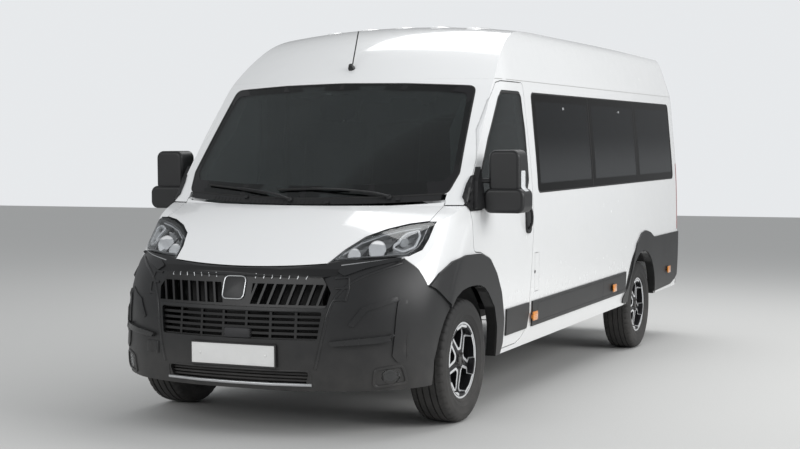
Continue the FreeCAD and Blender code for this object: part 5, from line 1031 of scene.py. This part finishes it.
def tyre(centre, axis):
    """A tyre about its axle: side walls with rings, a tread with grooves and cut blocks."""
    half = [(r, -w) for r, w in WALL_LINE + TREAD_LINE]
    line = half + [(r, -w) for r, w in reversed(half[:-1])]
    side = UPWARD
    other = axis.cross(side)
    rings = []
    for k in range(TREAD_STEPS):
        turn = math.tau * k / TREAD_STEPS
        way = side * math.cos(turn) + other * math.sin(turn)
        ring = []
        for r, w in line:
            edge_cut = 0.60 < abs(w) < 0.93 and r > 330 and (k + (0 if w > 0 else 1)) % 4 == 0
            middle_cut = 0.24 < abs(w) < 0.48 and r > 352 and (k + (2 if w > 0 else 0)) % 5 == 0
            depth = 6.5 if edge_cut else 4.0 if middle_cut else 0
            ring.append(centre + axis * w * TYRE_HALF * MM + way * (r - depth) * MM)
        rings.append(ring)
    count = len(line)
    faces = [(i * count + k, ((i + 1) % TREAD_STEPS) * count + k,
              ((i + 1) % TREAD_STEPS) * count + k + 1, i * count + k + 1)
             for i in range(TREAD_STEPS) for k in range(count - 1)]
    return Form().add([p for ring in rings for p in ring], faces)


for name, (_, x, y, z) in WHEELS.items():
    form = tyre(at(x, y, z), LEFTWARD)
    obj = make("tyre_" + name.replace("_", "-"), form, tyre_rubber, "wheel_" + name, "tyre",
               angle=28)
    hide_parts("tyre_" + name)
print("tyre faces:", len(form.faces))

# %% [markdown]
# ## Brakes
# Through the openings of a rim one sees the disc and, on its rear edge, a heavy cast caliper. The
# caliper stays still while the wheel turns, so it belongs to the knuckle in front and to the body
# at the rear.

# %% Calipers
for name, (sign, x, y, z) in WHEELS.items():
    form = Form()
    turns = [math.radians(a) for a in range(62, 119, 8)]
    rings = []
    for k, turn in enumerate(turns):
        ease = 1 - 0.18 * abs(k / (len(turns) - 1) * 2 - 1) ** 3
        ring = []
        for r, w in ((96, -34), (96, -6), (128, -4), (128, 6), (96, 8), (96, 20), (150, 20),
                     (163, 10), (166, -16), (158, -34)):
            ring.append(at(x + sign * w * ease, *round_wheel(y, z, r * (0.9 + 0.1 * ease), turn)))
        rings.append(ring)
    form.rings(rings)
    owner = "knuckle_" + name.split("_")[1] if name.startswith("front") else "body"
    make("caliper_" + name, form, cast, owner, "cast", edge=2.5)
print("pieces so far:", len(made_pieces))

# %% [markdown]
# ## Sides and roof
# The side glass sits in black rubber, the panes are parted by thin joints, and small latches show
# near the top of the panes. The roof is joined to the sides along a sealed seam. Each pane, seam
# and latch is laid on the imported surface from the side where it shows.


# %% Seals round the side glass and the roof seam
def seal(name, names, view, outline, width, height, body="body", finish=seal_rubber,
         closed=True, pace=60):
    """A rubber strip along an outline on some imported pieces."""
    run = laid(skin_of(*names), view, outline, pace, closed)
    make(name, Form().strip(run, bead(width, height), closed), finish, body)


DOOR_GLASS = ((0, 0.05), (0.04, 0.19), (0.235, 0.53), (0.41, 0.785), (0.51, 0.93), (0.575, 0.985),
              (0.935, 0.985), (0.965, 0.95), (0.985, 0.62), (0.98, 0.12), (0.95, 0.04), (0.5, 0.01),
              (0.04, 0.01))
door_glass = [(246 + 892 * a, 1299 + 647 * b) for a, b in DOOR_GLASS]
for side, _ in SIDES:
    seal("door_glass_seal_" + side, ["cab_door_glass_" + side], side,
         rounded(door_glass, 18, 3), 12, 2.5, "cab_door_" + side, pace=40)
    seal("door_waist_strip_" + side, ["cab_door_" + side, "cab_door_glass_" + side], side,
         [(262, 1293), (700, 1290), (1136, 1290)], 16, 5, "cab_door_" + side, closed=False)
    seal("roof_seam_" + side, ["roof_panel", "side_panel_" + side], side,
         [(700, 2020), (2500, 2020), (4000, 2020), (5330, 2020)], 4, 0.5, closed=False, pace=90,
         finish=visor_grey)
for name, view, y0, y1 in (("left", "left", 1318, 5132), ("right_2", "right", 2655, 5132),
                           ("right_1", "right", 1405, 2425)):
    seal("side_glass_seal_" + name, ["side_glass"], view, oblong(y0, y1, 1292, 1945, 46, 6), 10, 2)
joints = {"left": (2612, 3905), "right": (3905,)}
for side, places in joints.items():
    form = Form()
    skin = skin_of("side_glass")
    for y in places:
        form.strip(laid(skin, side, [(y, 1296), (y, 1620), (y, 1940)], 90), bead(9, 0.8))
    for y in places:
        for edge in (-52, 52):
            form.strip(laid(skin, side, [(y + edge, 1352), (y + edge, 1620), (y + edge, 1888)], 90),
                       bead(3, 0.5))
    make("pane_joints_" + side, form, seal_rubber)
latches = Form()
for view, places in (("left", (1995, 3451)), ("right", (1900, 3300))):
    for y in places:
        spot, out = touch(skin_of("side_glass"), view, y, 1853)
        latches.block(spot + out * 2 * MM, (34, 6, 15), REARWARD, out, 0.3)
make("pane_latches", latches, satin_silver, edge=1)

# %% [markdown]
# ## Door handles, mirrors, sliding door and fuel flap
# Each cab door has a grip bar with a lock behind it. The mirrors get two panes of mirror glass on
# their rear face, one above the other, and a repeater lamp on the outer edge.

# %% Handles, mirror glass and repeaters
DOOR_GRIP = ((1060, 1064, 2), (1064, 1090, 20), (1066, 1143, 26), (1064, 1196, 20),
             (1060, 1222, 2))
SLIDE_GRIP = ((1372, 1062, 8), (1372, 1090, 27), (1372, 1190, 27), (1372, 1216, 8))
REAR_GRIP = ((84, 1236, 6), (100, 1236, 24), (162, 1236, 24), (178, 1236, 6))


def handle(view, spots, skin):
    """A bent bar over a surface, through spots given as two places and a height."""
    path = smooth([lifted(view, a, b, lift, skin) for a, b, lift in spots])
    return Form().tube(path, 9, 12)


for side, sign in SIDES:
    skin = skin_of("cab_door_trim_" + side, "cab_door_" + side)
    door = "cab_door_" + side
    make("door_grip_" + side, handle(side, DOOR_GRIP, skin), gloss_black, door)
    spot, out = touch(skin, side, 1108, 1100)
    lock = Form().turned([(0, -2), (13, -2), (13, 2), (11, 4), (6, 4.5), (5, 3.5), (0, 3.5)],
                         spot, out, 32)
    make("door_lock_" + side, lock, satin_silver, door)
    head = skin_of("cab_door_trim_" + side)
    for number, frame_box in ((1, (1078, 1232, 1366, 1560, 34)), (2, (1062, 1262, 1222, 1332, 26))):
        ring = flipped(sign, oblong(*frame_box))
        pane_form = Form().plate(head, "rear", ring, 30, 0.5)
        make("mirror_pane_%d_%s" % (number, side), pane_form, mirror_silver, door, thick=2)
        rim_form = Form().strip(laid(head, "rear", ring, 30, True), bead(8, 6), True)
        make("mirror_rim_%d_%s" % (number, side), rim_form, gloss_black, door)
    repeater = Form().plate(head, side, oblong(264, 338, 1334, 1456, 14), 14, -1)
    make("mirror_repeater_" + side, repeater, lens_frost, door, "lamp", thick=3, edge=1)
    split = flipped(sign, ((1060, 1340), (1150, 1346), (1246, 1340)))
    line = Form().strip(laid(head, "front", split, 20), bead(5, 1.2))
    make("mirror_joint_" + side, line, seal_rubber, door)

# %% Sliding door rail and handle, fuel flap, step edges
rail = laid(skin_of("side_panel_right"), "right", [(2600, 1196), (3600, 1196), (3960, 1196)], 80)
make("slide_rail", Form().strip(rail, [(-16, -3), (16, -3), (16, 2), (9, 2), (7, -1), (-7, -1),
                                       (-9, 2), (-16, 2)]), dark_plastic, edge=0.6)
skin = skin_of("sliding_door")
cup = Form().plate(skin, "right", oblong(1330, 1430, 1036, 1240, 44, 6), 26, 0.5)
make("slide_handle_cup", cup, dark_plastic, thick=8, edge=3)
make("slide_handle_grip", handle("right", SLIDE_GRIP, skin), gloss_black)
spot, out = touch(skin_of("fuel_flap"), "left", 1197, 774)
notch = Form().turned([(0, 0), (12, 0), (12, 1.2), (9, 1.2), (8, 0.4), (0, 0.4)], spot, out, 32)
make("flap_notch", notch, dark_plastic, "fuel_flap")
for side, sign in SIDES:
    skin = skin_of("side_mouldings")
    form = Form()
    start = 1122 if sign > 0 else 2560
    for z in (446, 568):
        form.strip(laid(skin, side, [(start, z), (3480, z)], 90), bead(6, 2.5))
    make("moulding_ribs_" + side, form, dark_plastic)
    form = Form()
    for y in (1262, 2833) if sign > 0 else (2833,):
        form.strip(laid(skin, side, [(y - 6, 430), (y + 6, 584)], 40), bead(5, 0.6))
    make("moulding_joints_" + side, form, seal_rubber)
    sail = [(24, 1226), (92, 1222), (236, 1222), (240, 1296), (214, 1400), (180, 1440),
            (124, 1380), (60, 1304)]
    body_skin = skin_of("side_panel_" + side, "cab_door_" + side, "cab_door_glass_" + side)
    shield = Form().plate(body_skin, side, rounded(sail, 20), 26, 0.5)
    make("mirror_sail_" + side, shield, dark_plastic, "cab_door_" + side, thick=9, edge=4,
         rounds=3)
    skin = skin_of("marker_lamps")
    form = Form()
    for y in (1168, 3107, 4897):
        spot, out = touch(skin, side, y, 493)
        form.block(spot + out * 2 * MM, (96, 8, 58), REARWARD, out, 0.3)
    make("marker_lenses_" + side, form, amber_lens, slot="amber_lamp", edge=1.2)
roof = skin_of("roof_panel")
ribs = Form()
for x in (-520, -260, 0, 260, 520):
    ribs.strip(laid(roof, "above", [(x, 1350), (x, 3200), (x, 5050)], 110),
               [(-34, -1), (34, -1), (26, 5), (16, 7), (-16, 7), (-26, 5)])
make("roof_ribs", ribs, white_paint, slot="white_paint", edge=1)
print("pieces so far:", len(made_pieces))

# %% [markdown]
# ## The tail
# Two doors open at the rear. Each pane sits in rubber, a handle sits on the left door, and a lamp
# strip high on the roof edge is the third brake light. The tall lamps are divided into fields.

# %% Rear seals, handle, lamps and step
TAIL_GLASS = (116, 746, 1336, 1954)
HEATER_LINES = 11
for side, sign in SIDES:
    x0, x1, z0, z1 = TAIL_GLASS
    door, pane_name = "rear_door_" + side, "rear_door_glass_" + side
    pane_skin = skin_of(pane_name)
    seal("rear_glass_seal_" + side, [pane_name], "rear",
         flipped(sign, oblong(x0, x1, z0, z1, 52, 6)), 14, 3, door)
    outer = flipped(sign, oblong(x0 + 4, x1 - 4, z0 + 4, z1 - 4, 48, 6))
    inner = flipped(sign, oblong(x0 + 46, x1 - 46, z0 + 60, z1 - 46, 40, 6))
    border = band(Form(), pane_skin, "rear", outer, inner, 0.4)
    make("rear_glass_border_" + side, border, gloss_black, door, thick=0.5)
    lines = Form()
    for i in range(HEATER_LINES):
        z = z0 + 100 + i * (z1 - z0 - 190) / (HEATER_LINES - 1)
        line = flipped(sign, [(x0 + 60, z), (x1 - 60, z)])
        lines.strip(laid(pane_skin, "rear", line, 120), bead(1.6, 0.4, 0))
    make("rear_heater_lines_" + side, lines, trim_inside, door)
    skin = skin_of("tail_lamps")
    form = Form()
    for z in (975, 1120, 1265):
        form.strip(laid(skin, "rear", [(sign * 892, z), (sign * 950, z)], 12), bead(6, 2))
    make("tail_lamp_bars_" + side, form, gloss_black)
    for word, z, finish, slot in (("clear", 984, lens_frost, "lamp"),
                                  ("amber", 1130, amber_lens, "amber_lamp")):
        field = flipped(sign, oblong(893, 946, z, z + 126, 6))
        make("tail_lamp_%s_%s" % (word, side), Form().plate(skin, "rear", field, 14, 0.4), finish,
             slot=slot, thick=1.5)
    press = Form()
    skin = skin_of("rear_door_" + side)
    outline = flipped(sign, oblong(150, 740, 640, 1190, 60, 6))
    press.strip(laid(skin, "rear", outline, 60, True), [(-14, -1), (14, -1), (7, 3), (-7, 3)], True)
    make("rear_door_press_" + side, press, white_paint, door, "white_paint", edge=1)
skin = skin_of("rear_door_left", "rear_door_right")
run = laid(skin, "rear", [(12, 560), (12, 1300), (12, 2180)], 80)
make("rear_middle_seal", Form().strip(run, bead(10, 2)), seal_rubber, "rear_door_left")
cup = Form().plate(skin, "rear", oblong(66, 196, 1180, 1290, 40, 6), 26, 0.5)
make("rear_handle_cup", cup, dark_plastic, "rear_door_left", thick=7, edge=3)
make("rear_handle_grip", handle("rear", REAR_GRIP, skin), gloss_black, "rear_door_left")
roof = skin_of("roof_panel", "side_panel_left", "side_panel_right")
brake = Form().plate(roof, "rear", oblong(-150, 150, 2262, 2292, 12), 30, 0.5)
make("third_brake_lamp", brake, red_lens, slot="red_lamp", thick=7, edge=2)
step = skin_of("rear_bumper")
treads = Form()
for i in range(8):
    y = 5368 + i * 5.5
    treads.strip(laid(step, "above", [(-520, y), (0, y), (520, y)], 120), bead(2.4, 1.6))
make("step_treads", treads, dark_plastic)
reflect = Form()
for x in (-790, 790):
    reflect.plate(step, "rear", oblong(x - 70, x + 70, 404, 436, 8), 30, 0.5)
make("rear_reflectors", reflect, red_lens, slot="red_lamp", thick=3, edge=1)
print("pieces so far:", len(made_pieces))

# %% [markdown]
# ## The cab
# Through the windscreen one sees the steering wheel, a hood over the instruments, a screen, air
# vents and the gear lever. They are modelled simply, as small rounded forms.

# %% Steering wheel hub, hood, screen, vents, gear console, sensor housing and visors
wheel_at = at(430, 560, 1175)
wheel_way = along(0, 0.545, 0.839)
hub = Form().turned([(0, -6), (60, -8), (78, 6), (74, 24), (58, 36), (30, 42), (0, 43)],
                    wheel_at, wheel_way, 40)
make("steering_hub", hub, trim_inside, "steering_wheel", "trim_inside", edge=2)
grip_rim = Form()
side = LEFTWARD
up = wheel_way.cross(side)
for start, end in ((-25, 25), (155, 205)):
    turns = [math.radians(start + (end - start) * k / 10) for k in range(11)]
    path = [wheel_at + (side * math.cos(t) + up * math.sin(t)) * 179 * MM for t in turns]
    grip_rim.tube(path, [14 + 3.5 * math.sin(math.pi * k / 10) for k in range(11)], 14)
make("steering_grips", grip_rim, gloss_black, "steering_wheel", "trim_inside")
pods = Form()
for x in (-70, 70):
    spot = wheel_at + side * x * MM + wheel_way * 22 * MM
    for row in (-14, 0, 14):
        pods.block(spot + up * row * MM, (26, 10, 8), side, up, 0.4)
make("steering_buttons", pods, gloss_black, "steering_wheel", "trim_inside", edge=1)
dash = skin_of("dashboard")
hood_rings = []
for k in range(15):
    t = math.pi * k / 14
    x, z = 430 + 165 * math.cos(t), 1232 + 62 * math.sin(t) ** 0.7
    hood_rings.append([at(x, y, z + lift) for y, lift in
                       ((300, -16), (420, -8), (420, 0), (300, 2))])
make("instrument_hood", Form().rings(hood_rings), trim_inside, slot="trim_inside", edge=1)
screen = Form().block(at(0, 402, 1215), (236, 14, 130), soft=0.3)
make("dash_screen", screen, gloss_black, slot="trim_inside", edge=3)
vents = Form()
for x in (-640, -330, -140, 140, 690):
    vents.block(at(x, 424, 1178), (112, 22, 62), soft=0.3)
    for z in (1160, 1172, 1184, 1196):
        vents.block(at(x, 438, z), (96, 6, 3), soft=0.3)
make("dash_vents", vents, trim_inside, slot="trim_inside", edge=1)
tops = Form()
for a, b in ((-790, -470), (-420, -180), (180, 270)):
    tops.strip(laid(dash, "above", oblong(a, b, 170, 350, 24), 40, True), bead(5, 1.5), True)
make("dash_top_seams", tops, seal_rubber)
lever = Form().tube([at(60, 470, 1010), at(60, 500, 1080), at(60, 520, 1130)], [11, 8, 9], 12)
lever.turned([(0, -22), (14, -20), (24, -6), (26, 8), (18, 24), (0, 30)], at(60, 526, 1148),
             along(0, 0.3, 1), 24)
make("gear_lever", lever, gloss_black, slot="trim_inside")
boot = Form().block(at(60, 455, 985), (190, 150, 90), LEFTWARD, along(0, 1, 0.2), 0.4)
make("gear_console", boot, trim_inside, slot="trim_inside", edge=8, rounds=3)
glass_back, glass_out = touch(glass_skin, "front", 0, 1905)
housing = Form().block(glass_back - glass_out * 38 * MM, (150, 90, 60), LEFTWARD,
                       along(0, 0.6, 0.8), 0.3)
make("sensor_housing", housing, trim_inside, slot="trim_inside", edge=6, rounds=3)
visors = Form()
for x in (-430, 430):
    visors.block(at(x, 700, 1968), (430, 150, 18), LEFTWARD, along(0, 1, 0.3), 0.4)
make("sun_visors", visors, visor_grey, slot="trim_inside", edge=5, rounds=3)
print("pieces so far:", len(made_pieces))

# %% [markdown]
# ## Seats
# Each seat has a cushion, a back and a head restraint. Upholstery is crowned: it swells in the
# middle of each sewn field and dips at the seams, its side bolsters stand a little higher, and its
# edges are round. A pad here is a run of rounded slices along its length. Its points are then
# raised by the crown and the bolsters and drawn in at the seams.


# %% One padded form
PAD_PACE, PAD_CORNER_STEPS = 11.5, 5
PAD_WAIST, SEAM_WIDTH = 0.02, 9.0


def slice_ring(half_width, half_height, radius, top_parts, side_parts):
    """A rounded rectangle with evenly spaced points, from the lower left round."""
    radius = min(radius, half_width * 0.98, half_height * 0.98)
    flat, tall = half_width - radius, half_height - radius
    ring = []
    corners = ((flat, -tall, -90), (flat, tall, 0), (-flat, tall, 90), (-flat, -tall, 180))
    parts = (top_parts, side_parts, top_parts, side_parts)
    for i, (cx, cz, start) in enumerate(corners):
        before = corners[i - 1]
        first = (before[0] + radius * math.cos(math.radians(before[2] + 90)),
                 before[1] + radius * math.sin(math.radians(before[2] + 90)))
        last = (cx + radius * math.cos(math.radians(start)),
                cz + radius * math.sin(math.radians(start)))
        for k in range(1, parts[i]):
            share = k / parts[i]
            ring.append((first[0] + (last[0] - first[0]) * share,
                         first[1] + (last[1] - first[1]) * share))
        for k in range(PAD_CORNER_STEPS + 1):
            turn = math.radians(start + 90 * k / PAD_CORNER_STEPS)
            ring.append((cx + radius * math.cos(turn), cz + radius * math.sin(turn)))
    return ring


def dip(place, seam):
    return math.exp(-((place - seam) / SEAM_WIDTH) ** 2)


def pad_form(place, width, length, height, radius, crown, bolster, lengthwise, crosswise):
    """A pad placed by a matrix: x across, y along and z out of the sitting face."""
    form = Form()
    turns = [math.radians(a) for a in range(0, 90, 15)]
    ends = [(radius * (1 - math.cos(t)), radius * (1 - math.sin(t))) for t in turns]
    slices = [(-length / 2 + along_in, inset) for along_in, inset in ends]
    spans = max(2, round((length - 2 * radius) / PAD_PACE))
    slices += [(-length / 2 + radius + (length - 2 * radius) * k / spans, 0)
               for k in range(spans + 1)]
    slices += [(length / 2 - along_in, inset) for along_in, inset in reversed(ends)]
    top_parts = max(4, round((width - 2 * radius) / PAD_PACE))
    side_parts = max(2, round((height - 2 * radius) / PAD_PACE))
    rings = []
    for v, inset in slices:
        vs = v / (length / 2)
        pull = 1 - PAD_WAIST * (1 - vs * vs)
        ring = []
        for a, c in slice_ring(width / 2 - inset, height / 2 - inset, radius - inset * 0.9,
                               top_parts, side_parts):
            us = a / (width / 2)
            rise = 0
            if c > 0:
                share = c / (height / 2)
                rise += crown * (1 - us ** 2) * (1 - vs ** 2)
                rise += bolster * math.exp(-((abs(us) - 0.80) / 0.16) ** 2) * (1 - vs ** 6)
                for seam in lengthwise:
                    rise -= 8 * dip(a, seam * width / 2) * (1 - vs ** 8)
                if abs(us) < max(lengthwise, default=2):
                    for seam in crosswise:
                        rise -= 7 * dip(v, seam * length / 2)
                rise *= share
            point = Vector((a * pull, v, c + rise)) * MM
            ring.append(place @ point)
        rings.append(ring)
    return form.rings(rings)


def pad(name, place, *sizes, node, fill=0.85):
    obj = make(name, pad_form(place, *sizes), seat_cloth, slot="seat_cloth", angle=70)
    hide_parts(node)


def frame_at(x, y, z, lean):
    """A matrix for a pad whose length leans back from level by an angle in degrees."""
    turn = math.radians(lean)
    length_way = Vector((0, math.cos(turn), math.sin(turn)))
    face_way = Vector((0, -math.sin(turn), math.cos(turn)))
    base = Matrix.Translation(at(x, y, z))
    axes = Matrix((Vector((1, 0, 0)), length_way, face_way)).transposed().to_4x4()
    return base @ LEVEL.to_3x3().to_4x4() @ axes


# %% All seats with frames, belts and buckles
SEAT_LENGTH = 480
BACK_RISE, BACK_RUN = 769, 165
BACK_LEAN = math.degrees(math.atan2(BACK_RISE, BACK_RUN))
BELT_HEAD, BELT_FOOT = 1690, 1085
seat_places = [("front_seats", sign * 430, 657.5) for sign in (1, -1)]
seat_places += [("passenger_seats", sign * 405, y) for y in (1750, 2530, 3310, 4090)
                for sign in (1, -1)]
SEAT_NODES = ("front_seats", "passenger_seats")
metalwork, shells, belts = ({node: Form() for node in SEAT_NODES} for _ in range(3))
for number, (node, x, y) in enumerate(seat_places, 1):
    back_y = y + SEAT_LENGTH
    pad("seat_cushion_%d" % number, frame_at(x, y + 246, 1002, 3), 468, 500, 112, 42, 16, 12,
        (0.56, -0.56), (-0.38, 0.08, 0.52), node=node)
    pad("seat_back_%d" % number, frame_at(x, back_y + 42, 1392, BACK_LEAN), 456, 760, 104, 40, 14,
        16, (0.58, -0.58), (-0.62, -0.3, 0.02, 0.34, 0.64), node=node)
    pad("seat_head_%d" % number, frame_at(x, back_y + 130, 1874, BACK_LEAN), 252, 172, 96, 38, 8,
        0, (), (), node=node, fill=0.95)
    frame_form = metalwork[node]
    for side in (-1, 1):
        post = x + side * 62
        frame_form.tube([at(post, back_y + 108, 1700), at(post, back_y + 124, 1830)], 6.5, 10)
    if node == "front_seats":
        shells[node].block(at(x, y + 236, 790), (380, 420, 292), soft=0.12)
    else:
        for side in (-1, 1):
            foot = x + side * 180
            for places in ((70, 110, 130), (440, 400, 380)):
                leg = [at(foot, y + place, z) for place, z in zip(places, (648, 790, 936))]
                frame_form.tube(leg, 15, 12)
            frame_form.block(at(foot, y + 255, 650), (40, 470, 18), soft=0.3)
        for rear in (130, 380):
            frame_form.tube([at(x - 195, y + rear, 930), at(x + 195, y + rear, 930)], 14, 12)
    shells[node].block(at(x, y + 246, 944), (430, 440, 22), soft=0.3)
    rear = along(0, BACK_RISE, -BACK_RUN)
    middle = at(x, back_y + 42, 1385) + rear * 50 * MM
    shells[node].block(middle, (420, 16, 700), LEFTWARD, rear, 0.4)
    outer = 1 if x > 0 else -1
    for side in (-1, 1):
        shells[node].block(at(x + side * 246, back_y - 20, 990), (26, 110, 70), soft=0.4)
    strap = []
    for k in range(15):
        share = k / 14
        a = x + outer * (190 - 350 * share)
        front_y = back_y + 90 - (90 + 62) * share
        z = BELT_HEAD - (BELT_HEAD - BELT_FOOT) * share
        spot = at(a, front_y - 62 - 16 * math.sin(math.pi * share), z)
        strap.append((spot, -rear))
    belts[node].strip(strap, [(-23, 0), (23, 0), (23, 2), (-23, 2)])
    belts[node].block(at(x - outer * 214, back_y - 60, 1092), (24, 40, 74), LEFTWARD,
                      along(0, 1, 0.2), 0.3)
for node in SEAT_NODES:
    word = node.split("_")[0]
    for title, form, finish, edge in (("frames", metalwork[node], cast, 0),
                                      ("shells", shells[node], trim_inside, 4),
                                      ("belts", belts[node], seal_rubber, 0)):
        obj = make("seat_%s_%s" % (title, word), form, finish, slot="seat_cloth", edge=edge)
        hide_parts(node)
print("seats:", len(seat_places), "pieces so far:", len(made_pieces))

# %% [markdown]
# ## Floor, backdrop and light
# A pale floor with soft light from above, the left and ahead shows a white body best: it needs some
# darker room to reflect, or its edges vanish. The world is pale to the camera, dimmer as a light
# and dark in reflections, so the glass stays dark and the lamps draw the shape.

# %% Stage
floor_finish = Finish("floor")
speck = floor_finish.noise(90.0, 4.0)
floor_finish.set(Base_Color=floor_finish.blend(speck, colour(0.50, 0.50, 0.49),
                                               colour(0.58, 0.58, 0.57)),
                 Roughness=0.75 + 0.1 * speck)
bpy.ops.mesh.primitive_plane_add(size=80, location=(0, 0, 0))
floor = bpy.context.object
floor.name = "floor"
dress(floor, floor_finish)

world = bpy.data.worlds.new("world")
bpy.context.scene.world = world
world.use_nodes = True
sky = world.node_tree
ground = sky.nodes["Background"]
path = sky.nodes.new("ShaderNodeLightPath")
as_light, as_backdrop, as_mirror = 0.66, 0.86, 0.36
level = None
for kind, strength in (("Is Camera Ray", as_backdrop), ("Is Glossy Ray", as_mirror)):
    step_up = sky.nodes.new("ShaderNodeMapRange")
    step_up.inputs["To Min"].default_value = as_light
    step_up.inputs["To Max"].default_value = strength
    sky.links.new(path.outputs[kind], step_up.inputs["Value"])
    if level:
        sky.links.new(level, step_up.inputs["To Min"])
    level = step_up.outputs[0]
sky.links.new(level, ground.inputs["Strength"])
ground.inputs["Color"].default_value = (0.93, 0.95, 0.97, 1)


def softbox(name, spot, target, size, power):
    """A large rectangular lamp that faces the target."""
    data = bpy.data.lights.new(name, "AREA")
    data.shape = "RECTANGLE"
    data.size, data.size_y = size
    data.energy = power
    lamp = bpy.data.objects.new(name, data)
    bpy.context.collection.objects.link(lamp)
    lamp.location = spot
    lamp.rotation_euler = (Vector(target) - Vector(spot)).to_track_quat("-Z", "Y").to_euler()


LIGHTS = (("overhead_light", (1.0, 4.5, 8.0), (0, 0.5, 1), (9, 6), 430),
          ("side_light", (9.0, -1.0, 4.5), (0, 0.8, 1.2), (7, 4), 470),
          ("front_light", (-2.5, -10.0, 4.0), (0, -2, 1.2), (6, 3), 180))
for light in LIGHTS:
    softbox(*light)
bpy.context.scene.view_settings.view_transform = "Standard"

# %% [markdown]
# ## Close

# %% Finish
import json
